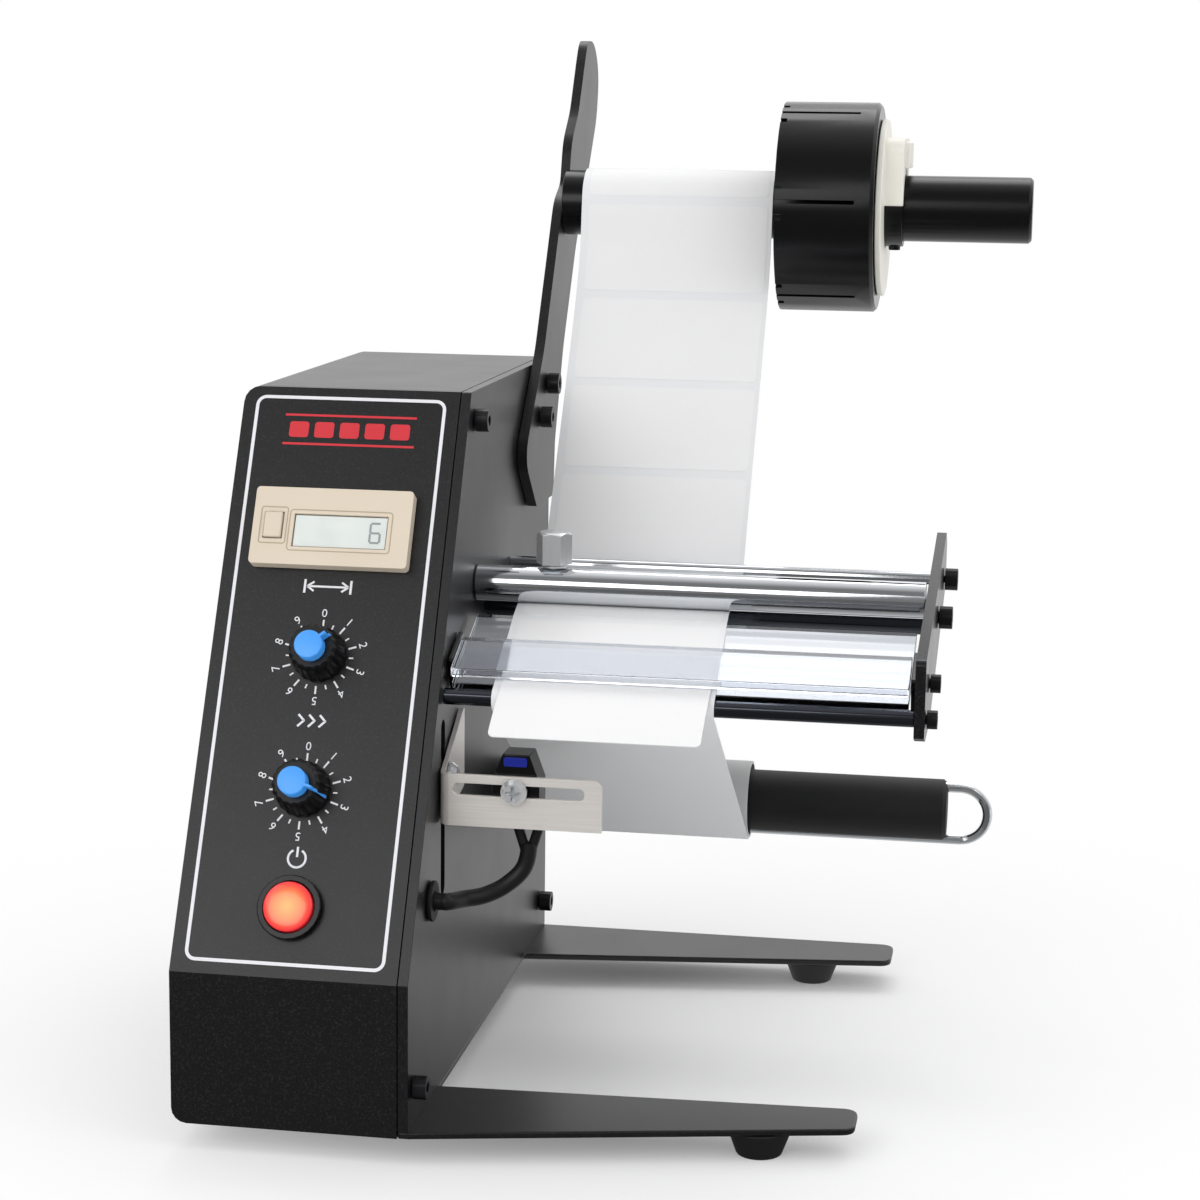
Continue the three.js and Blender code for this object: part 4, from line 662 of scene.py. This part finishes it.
print("dressed", sum(map(len, looks.values())), "pieces")


# The web: a strip with labels on its outer side, from the shaft to the mandrel
web = {
    "liner": (-31.15 * mm, 33.85 * mm), "halfThick": 0.2 * mm,
    "labels": (-28.65 * mm, 32.35 * mm), "labelOff": (0.12 * mm, 0.3 * mm),
    "pitch": 33 * mm, "gap": 3 * mm, "phase": 8 * mm, "corner": 1.6 * mm, "step": 1.2 * mm,
    # the strip's radius round each bar, and where it lies over the lower guide plate
    "round": {"roll_shaft": 11.5 * mm, "thin_rod": 2.5 * mm, "guide_bar": 6.1 * mm,
              "chrome_rod": 6.0 * mm, "peel_bar": 3.45 * mm, "take_up_mandrel": 13.0 * mm},
    "overPlate": (2 * mm, 37.6 * mm), "rise": 0.65 * mm, "sagFoot": (2.0 * mm, -1.5 * mm),
    "drift": 4 * mm, "plateEnd": (-94.238 * mm, 131.5 * mm), "plateTilt": 21.4,
    "sag": [(0.04, 0.87), (0.14, 0.74), (0.4, 0.51), (0.67, 0.285), (0.87, 0.12)],
    "loose": {"start": (4 * mm, 1.35 * mm), "length": 29 * mm, "droop": 34,
              "halfThick": 0.18 * mm, "corner": 1.8 * mm},
}


def bend(node, start, end, steps):
    # points (y, z) of the strip round a node's axis, from start to end degrees
    turn = np.radians(np.linspace(start, end, steps))
    return span(node)[2][1:] + web["round"][node] * np.stack([np.cos(turn), np.sin(turn)], -1)


plateWay = np.array([np.cos(np.radians(web["plateTilt"])),
                     np.sin(np.radians(web["plateTilt"]))])


def overPlate(forward, rise):
    # a point (y, z) so far along the plate from its front edge, and so far above it
    return (np.array(web["plateEnd"]) + forward * plateWay
            + rise * np.array([-plateWay[1], plateWay[0]]))


shaftAxis, thinAxis, peelAxis, mandrelAxis = (
    span(node)[2][1:] for node in ("roll_shaft", "thin_rod", "peel_bar", "take_up_mandrel"))
sagTop = shaftAxis - (web["round"]["roll_shaft"], 0)
sagFoot = thinAxis + web["sagFoot"]
sagPoints = [sagTop] + [(sagTop[0] - drop * (sagTop[0] - sagFoot[0]),
                         sagFoot[1] + level * (sagTop[1] - sagFoot[1]))
                        for drop, level in web["sag"]] + [sagFoot]
run = mandrelAxis - peelAxis
leave = np.degrees(np.arctan2(run[1], run[0])
                   - np.arcsin((web["round"]["take_up_mandrel"] - web["round"]["peel_bar"])
                               / np.linalg.norm(run))) - 90
upRun = np.concatenate([
    bend("roll_shaft", -25, 176, 24), centripetal(sagPoints, 10),
    bend("thin_rod", -62, -90, 6), bend("guide_bar", 92, 118, 8),
    bend("chrome_rod", -62, -105, 10),
    overPlate(web["overPlate"][1], web["rise"])[None]])
downRun = np.concatenate([
    overPlate(web["overPlate"][0], web["rise"])[None],
    bend("peel_bar", 90 + web["plateTilt"], 360 + leave, 40),
    bend("take_up_mandrel", leave, leave + 8, 6)])
webRoute = np.concatenate([upRun, downRun])
webRoute = webRoute[np.append(True, np.linalg.norm(np.diff(webRoute, axis=0), axis=1) > 1e-5)]
webLength = np.append(0, np.cumsum(np.linalg.norm(np.diff(webRoute, axis=0), axis=1)))


def ribbon(name, path, lengths, stations, left, right, low, high, drift=True):
    # at each station a flat box section across x; its offset is to the right of travel
    near = 0.4 * mm
    here = np.stack([np.interp(stations, lengths, path[:, i]) for i in (0, 1)], -1)
    ahead = np.stack([np.interp(stations + near, lengths, path[:, i])
                      - np.interp(stations - near, lengths, path[:, i])
                      for i in (0, 1)], -1)
    ahead /= np.linalg.norm(ahead, axis=1)[:, None]
    aside = np.stack([ahead[:, 1], -ahead[:, 0]], -1)
    corners = ((left, low), (right, low), (right, high), (left, high))
    rows = np.zeros((len(stations), 4, 3))
    for i, (x, off) in enumerate(corners):
        rows[:, i, 0] = x
        rows[:, i, 1:] = here + off * aside
    if drift:
        share = (rows[..., 1] - peelAxis[0]) / (thinAxis[0] - peelAxis[0])
        rows[..., 0] -= web["drift"] * np.clip(share, 0, 1) * (rows[..., 2] > peelAxis[1])
    ends = [np.repeat(rows[i].mean(0)[None], 4, 0)[None] for i in (0, -1)]
    return gridPiece(name, np.concatenate([ends[0], rows, ends[1]]), weld=0.0005 * mm)


def roundedStations(start, end, corner, step):
    # closer together in the rounded corners; the inset is how far the corner cuts in there
    turn = np.radians(np.linspace(4, 90, 7))
    inner = np.linspace(start + corner, end - corner, max(3, int((end - start) / step)))
    stations = np.concatenate([start + corner * (1 - np.cos(turn))[:-1], inner,
                               end - corner * (1 - np.cos(turn))[-2::-1]])
    away = np.minimum(stations - start, end - stations).clip(0, corner)
    return stations, corner - np.sqrt(corner ** 2 - (corner - away) ** 2)


stations = np.linspace(0, webLength[-1], 420)
dressed(ribbon("labelLiner", webRoute, webLength, stations, *web["liner"],
               -web["halfThick"], web["halfThick"]),
        "machine", liner, angle=40, replaces=["label_liner"])
peelAt = webLength[np.argmin(np.linalg.norm(webRoute - downRun[1], axis=1))]
end, patches = peelAt - web["phase"], []
x0, x1 = web["labels"]
while end > web["pitch"]:
    at, inset = roundedStations(end - web["pitch"] + web["gap"], end, web["corner"],
                                web["step"])
    patches.append(ribbon("patch", webRoute, webLength, at, x0 + inset, x1 - inset,
                          *web["labelOff"]))
    end -= web["pitch"]
dressed(joined("labelRow", patches), "machine", label, angle=40)

# the label that has come off at the peel bar: straight on, then drooping
loose = web["loose"]
turns = np.radians(web["plateTilt"] + (loose["droop"] - web["plateTilt"])
                   * np.clip(np.linspace(-0.25, 1, 6), 0, 1))
way = np.stack([-np.cos(turns), -np.sin(turns)], -1) * loose["length"] / 6
looseRoute = centripetal(overPlate(*loose["start"]) + np.concatenate(
    [[(0, 0)], np.cumsum(way, 0)]), 12)
looseLength = np.append(0, np.cumsum(np.linalg.norm(np.diff(looseRoute, axis=0), axis=1)))
at, inset = roundedStations(0, looseLength[-1], loose["corner"], web["step"])
dressed(ribbon("dispensedLabel", looseRoute, looseLength, at, x0 + inset, x1 - inset,
               -loose["halfThick"], loose["halfThick"], drift=False),
        "machine", label, angle=40, replaces=["dispensed_label"])
print("web threaded,", len(patches), "labels")


def printed(piece, finish):
    return dressed(piece, "machine", finish)


# What is printed on the control face
whiteInk = mouldedPlastic("whiteInk", "d9d9de", "ececf0", 0.45)
redInk = mouldedPlastic("redInk", "cb202d", "d82b38", 0.42)
greyInk = mouldedPlastic("greyInk", "8c9294", "989ea0", 0.5)
ink = panel["ink"]
side, foot, top = panel["frame"]
faceWidth = faceHigh[0] - faceLow[0]
faceLength = (faceHigh[2] - panel["bend"]) / slopeAxis[2]
size = np.array([faceWidth - 2 * side, faceLength - foot - top])
centre = (0, foot + size[1] / 2)
line, corner = panel["frameLine"], panel["frameCorner"]
printed(printedRing("frameLine", roundedBox(centre, size, corner),
                    roundedBox(centre, size - 2 * line, corner - line), 0.0, ink), whiteInk)
for name, node in (("lengthDialPrint", "length_knob"), ("speedDialPrint", "speed_knob")):
    printed(dialPrint(name, node), whiteInk)

# signs, as bars: middle (x, s) from the sign's own place, degrees, length and width
signs = {
    # two end lines with a double arrow between them: the length of a label
    "lengthSign": ("length_knob", (0, 21.5), [
        (0, 0, 0, 12, 0.6), (-7, 0, 90, 4.2, 0.7), (7, 0, 90, 4.2, 0.7),
        (-5.2, 0.75, 35, 2.4, 0.6), (-5.2, -0.75, -35, 2.4, 0.6),
        (5.2, 0.75, -35, 2.4, 0.6), (5.2, -0.75, 35, 2.4, 0.6)]),
    # three arrow heads in a row: the speed
    "speedSign": ("speed_knob", (0, 21.0), [
        (x, s, turn, 2.7, 0.65) for x in (-3.2, 0.0, 3.2)
        for s, turn in ((0.85, -45), (-0.85, 45))]),
}
for name, (node, away, bars) in signs.items():
    x, s = faceCentre(node)[:2] + np.array(away) * mm
    printed(printedBars(name, [(x + u * mm, s + v * mm, np.radians(turn), l * mm, w * mm)
                               for u, v, turn, l, w in bars], 0.0, ink), whiteInk)
# the power sign over its button: a ring that is open at the top, and a bar in the gap
x, s = faceCentre("power_button")[:2] + np.array((0, 14.6)) * mm
arcs = np.radians(np.arange(-230, 51, 20))
printed(printedBars("powerSign", [(x + 2.6 * mm * np.cos(a), s + 2.6 * mm * np.sin(a),
                                   a + np.pi / 2, 1.0 * mm, 0.65 * mm) for a in arcs]
                    + [(x, s + 1.9 * mm, np.pi / 2, 3.0 * mm, 0.65 * mm)], 0.0, ink),
        whiteInk)
# a strip of red labels on its liner, at the head of the face
strip = {"middle": (0.5 * mm, 165.5 * mm), "label": (6.0 * mm, 5.0 * mm), "pitch": 7.8 * mm,
         "corner": 0.9 * mm, "line": 0.7 * mm}
x, s = strip["middle"]
patches = []
for i in range(-2, 3):
    edge = roundedBox((x + i * strip["pitch"], s), strip["label"], strip["corner"])
    inner = roundedBox((x + i * strip["pitch"], s), (0.02 * mm, 0.02 * mm), 0.005 * mm)
    patches.append(printedRing("stripLabel", edge, inner, 0.0, ink))
patches += [printedBars("stripLine", [(x, s + side * 4.6 * mm, 0.0, 5.2 * strip["pitch"],
                                       strip["line"]) for side in (-1, 1)], 0.0, ink)]
printed(joined("stripSign", patches), redInk)

# the painted shade along the rims of the counter's window and reset button, and the one figure
# that its display shows
x, s, n = faceCentre("counter_window")
low, high = 4.5 * mm, 4.54 * mm
# darker beige rings painted along the rims of the window and button openings, as painted shade
# in their gaps
paintedGapShade = mouldedPlastic("counterPrint", "a99a83", "b3a48d", 0.5)
patches = []
for node, wide, tall, corner in (("counter_window", 31.5 * mm, 13.0 * mm, 1.2 * mm),
                                  ("counter_reset_button", 8.4 * mm, 11.6 * mm, 0.9 * mm)):
    place = faceCentre(node)[:2]
    size = np.array((wide, tall))
    patches.append(printedRing("outline", roundedBox(place, size, corner),
                               roundedBox(place, size - 0.7 * mm, corner - 0.35 * mm),
                               low, high))
printed(joined("counterShadeLines", patches), paintedGapShade)
figure = {"place": (10.6 * mm, 0.0), "wide": 3.0 * mm, "tall": 6.0 * mm, "stroke": 0.62 * mm}
x, s = np.array((x, s)) + figure["place"]
w, h = figure["wide"] / 2, figure["tall"] / 4
top = 3.95 * mm
segments = [(0, 2 * h, 0, 2 * w), (0, 0, 0, 2 * w), (0, -2 * h, 0, 2 * w),
            (-w, h, 90, 2 * h), (-w, -h, 90, 2 * h), (w, -h, 90, 2 * h)]
printed(printedBars("counterFigure", [
    (x + u, s + v, np.radians(turn), reach - 0.3 * mm, figure["stroke"])
    for u, v, turn, reach in segments], top, top + 0.03 * mm), greyInk)
print("control face printed")

# The lit button: a low dome whose attribute "rim" runs from its middle to its edge
x, s, n = faceCentre("power_button")
base = onFace(np.array([x, s, 0.0]))
button = {"radius": 7.2 * mm, "foot": 1.2 * mm, "edge": 3.5 * mm, "top": 4.5 * mm}
arc = np.linspace(0, np.pi / 2, 14)
dome = [(0, button["foot"]), (button["radius"] - 0.3 * mm, button["foot"]),
        (button["radius"], button["foot"] + 0.3 * mm)] + [
    (button["radius"] * np.cos(a) ** 0.55,
     button["edge"] + (button["top"] - button["edge"]) * np.sin(a)) for a in arc]
dome[-1] = (0, button["top"])
lit = turnedPiece("powerLens", "n", base, dome, 96)
away = np.zeros(len(lit.data.vertices) * 3, np.float32)
lit.data.vertices.foreach_get("co", away)
away = away.reshape(-1, 3) - base
flat = np.hypot(away @ acrossAxis, away @ slopeAxis)
rim = lit.data.attributes.new("rim", "FLOAT", "POINT")
rim.data.foreach_set("value", (flat / button["radius"]).clip(0, 1).astype(np.float32))
dressed(lit, bodyOf["power_button"], lens, angle=50,
        replaces=["power_button"])

# The dials' caps: a dished disc with a thin tail that points at the scale
cap = {"radius": 4.2 * mm, "tail": 6.1 * mm, "halfTail": 0.42 * mm, "low": 10.1 * mm,
       "high": 14.1 * mm, "dish": 0.35 * mm,
       # the line on the knob: half its width, how far it stands up, its points (reach, n)
       # and the direction in which each one is raised
       "line": 0.4 * mm, "raise": 0.45 * mm,
       "lineRoute": [(4.4, 9.7), (6.2, 9.7), (6.55, 8.6), (7.3, 4.6), (7.6, 3.0)],
       "lineOut": [(0, 1), (0.7, 0.9), (1, 0.2), (1, 0.2), (1, 0.2)]}
turnsOf = {"length_knob": -50, "speed_knob": -105}
for node, clockwise in turnsOf.items():
    x, s = faceCentre(node)[:2]
    aim = np.radians(90 + clockwise)

    def tailed(row, turn, aim=aim):
        # the disc's radius, or that of the tail's straight sides where they reach further
        off = (turn - aim + np.pi) % (2 * np.pi) - np.pi
        far = np.minimum(cap["tail"], cap["halfTail"] / np.maximum(np.abs(np.sin(off)), 1e-4))
        far = np.where(np.abs(off) < np.pi / 2, far, 0)
        return np.maximum(1.0, far / cap["radius"])

    disc = cap["radius"]
    profile = [(0, cap["low"]), (disc, cap["low"]), (disc, cap["high"] - 0.4 * mm),
               (disc - 0.12 * mm, cap["high"] - 0.12 * mm), (disc - 0.4 * mm, cap["high"])]
    piece = turnedPiece(camel(node) + "Cap", "n", onFace(np.array([x, s, 0.0])),
                        profile + [(0, cap["high"] - cap["dish"])], 540, tailed)
    dressed(piece, bodyOf[node + "_cap"], blue, angle=50,
            replaces=[node + "_cap"])
    # the tail's line runs on over the knob's shoulder and down its side
    half, line = cap["line"], np.array(cap["lineRoute"]) * mm
    rows = []
    for (reach, n), (outX, outN) in zip(line, cap["lineOut"]):
        rows.append([(x + (reach + lift * outX) * np.cos(aim) - side * half * np.sin(aim),
                      s + (reach + lift * outX) * np.sin(aim) + side * half * np.cos(aim),
                      n + lift * outN)
                     for side, lift in ((-1, 0), (1, 0), (1, cap["raise"]),
                                        (-1, cap["raise"]))])
    rows = [[np.mean(rows[0], 0)] * 4] + rows + [[np.mean(rows[-1], 0)] * 4]
    dressed(gridPiece(camel(node) + "Line", onFace(np.array(rows))), bodyOf[node], blue,
            angle=30)

# The wound liner: a smooth roll, its rings only in the ends
coil = {"inner": 11.6 * mm, "outer": 12.5 * mm}
low, high, middle = span("wound_liner")
half = (high[0] - low[0]) / 2
profile = [(coil["inner"], -half), (coil["outer"], -half), (coil["outer"], half),
           (coil["inner"], half), (coil["inner"], -half)]
dressed(turnedPiece("woundLiner", "x", middle, profile, 128), bodyOf["wound_liner"], wound,
        angle=40, replaces=["wound_liner"])
print("button, caps and roll turned")


# The studio: a pale floor, soft lamps and a white surround
studio = {
    # the floor's half width, its colour, and the distances where it turns plain white; how
    # pale it is when mirrored, before and behind the y values of turn
    "floor": {"reach": 3.0, "shade": "fbfbfb", "near": 0.04, "far": 0.36,
              "before": 0.14, "behind": 0.84, "turn": (-0.12, 0.10)},
    "ambient": 0.74, "behind": 1.15, "before": 0.22, "skyRise": 0.45, "skyTurn": (-0.1, 0.9),
    "lamps": [
        # place, what it points at, width, height, watts
        ((-0.40, -1.14, 0.66), (-0.08, -0.1, 0.12), 0.8, 0.55, 3.3),
        ((-1.3, -0.8, 1.3), (0, 0, 0.15), 1.1, 1.1, 3.6),
        ((1.2, -0.6, 1.1), (0, 0, 0.15), 0.8, 1.2, 3.0),
        ((0.1, 0.9, 1.6), (0, 0, 0.1), 1.4, 0.9, 8.0),
    ],
}
reach = studio["floor"]["reach"]
floor = pieceFrom("floor", [(-reach, -reach, 0), (reach, -reach, 0), (reach, reach, 0),
                            (-reach, reach, 0)], [(0, 1, 2, 3)])
floor.data.materials.append(studioWhite("paleFloor", studio["floor"]).material)
for i, (place, aim, wide, high, watts) in enumerate(studio["lamps"]):
    lamp = bpy.data.objects.new("lamp" + str(i + 1), bpy.data.lights.new("lamp", "AREA"))
    lamp.data.shape, lamp.data.size, lamp.data.size_y = "RECTANGLE", wide, high
    lamp.data.energy = watts
    lamp.location = place
    lamp.rotation_euler = (Vector(aim) - Vector(place)).to_track_quat("-Z", "Y").to_euler()
    bpy.context.scene.collection.objects.link(lamp)

world = bpy.data.worlds.new("studioAir")
world.use_nodes = True
bpy.context.scene.world = world
air = world.node_tree
rays = air.nodes.new("ShaderNodeLightPath")
cameraRay, glossyRay, glassRay = (Signal(air, rays.outputs[name]) for name in (
    "Is Camera Ray", "Is Glossy Ray", "Is Transmission Ray"))
background = air.nodes["Background"]
background.inputs["Color"].default_value = (1, 1, 1, 1)
plain = studio["ambient"]
parts = air.nodes.new("ShaderNodeSeparateXYZ")
air.links.new(air.nodes.new("ShaderNodeNewGeometry").outputs["Incoming"], parts.inputs[0])
# what polished faces mirror is bright behind the machine, less so above, and dim in front
across, rise = Signal(air, parts.outputs[1]), Signal(air, parts.outputs[2])
sky = (-1.0 * (across + studio["skyRise"] * rise)).ramp(*studio["skyTurn"])
mirrored = studio["before"] + (studio["behind"] - studio["before"]) * sky
strength = (plain + (cameraRay + glassRay).clipped() * (1 - plain)
            + glossyRay * (mirrored - plain))
feed(air, background.inputs["Strength"], strength)
print("studio lit")
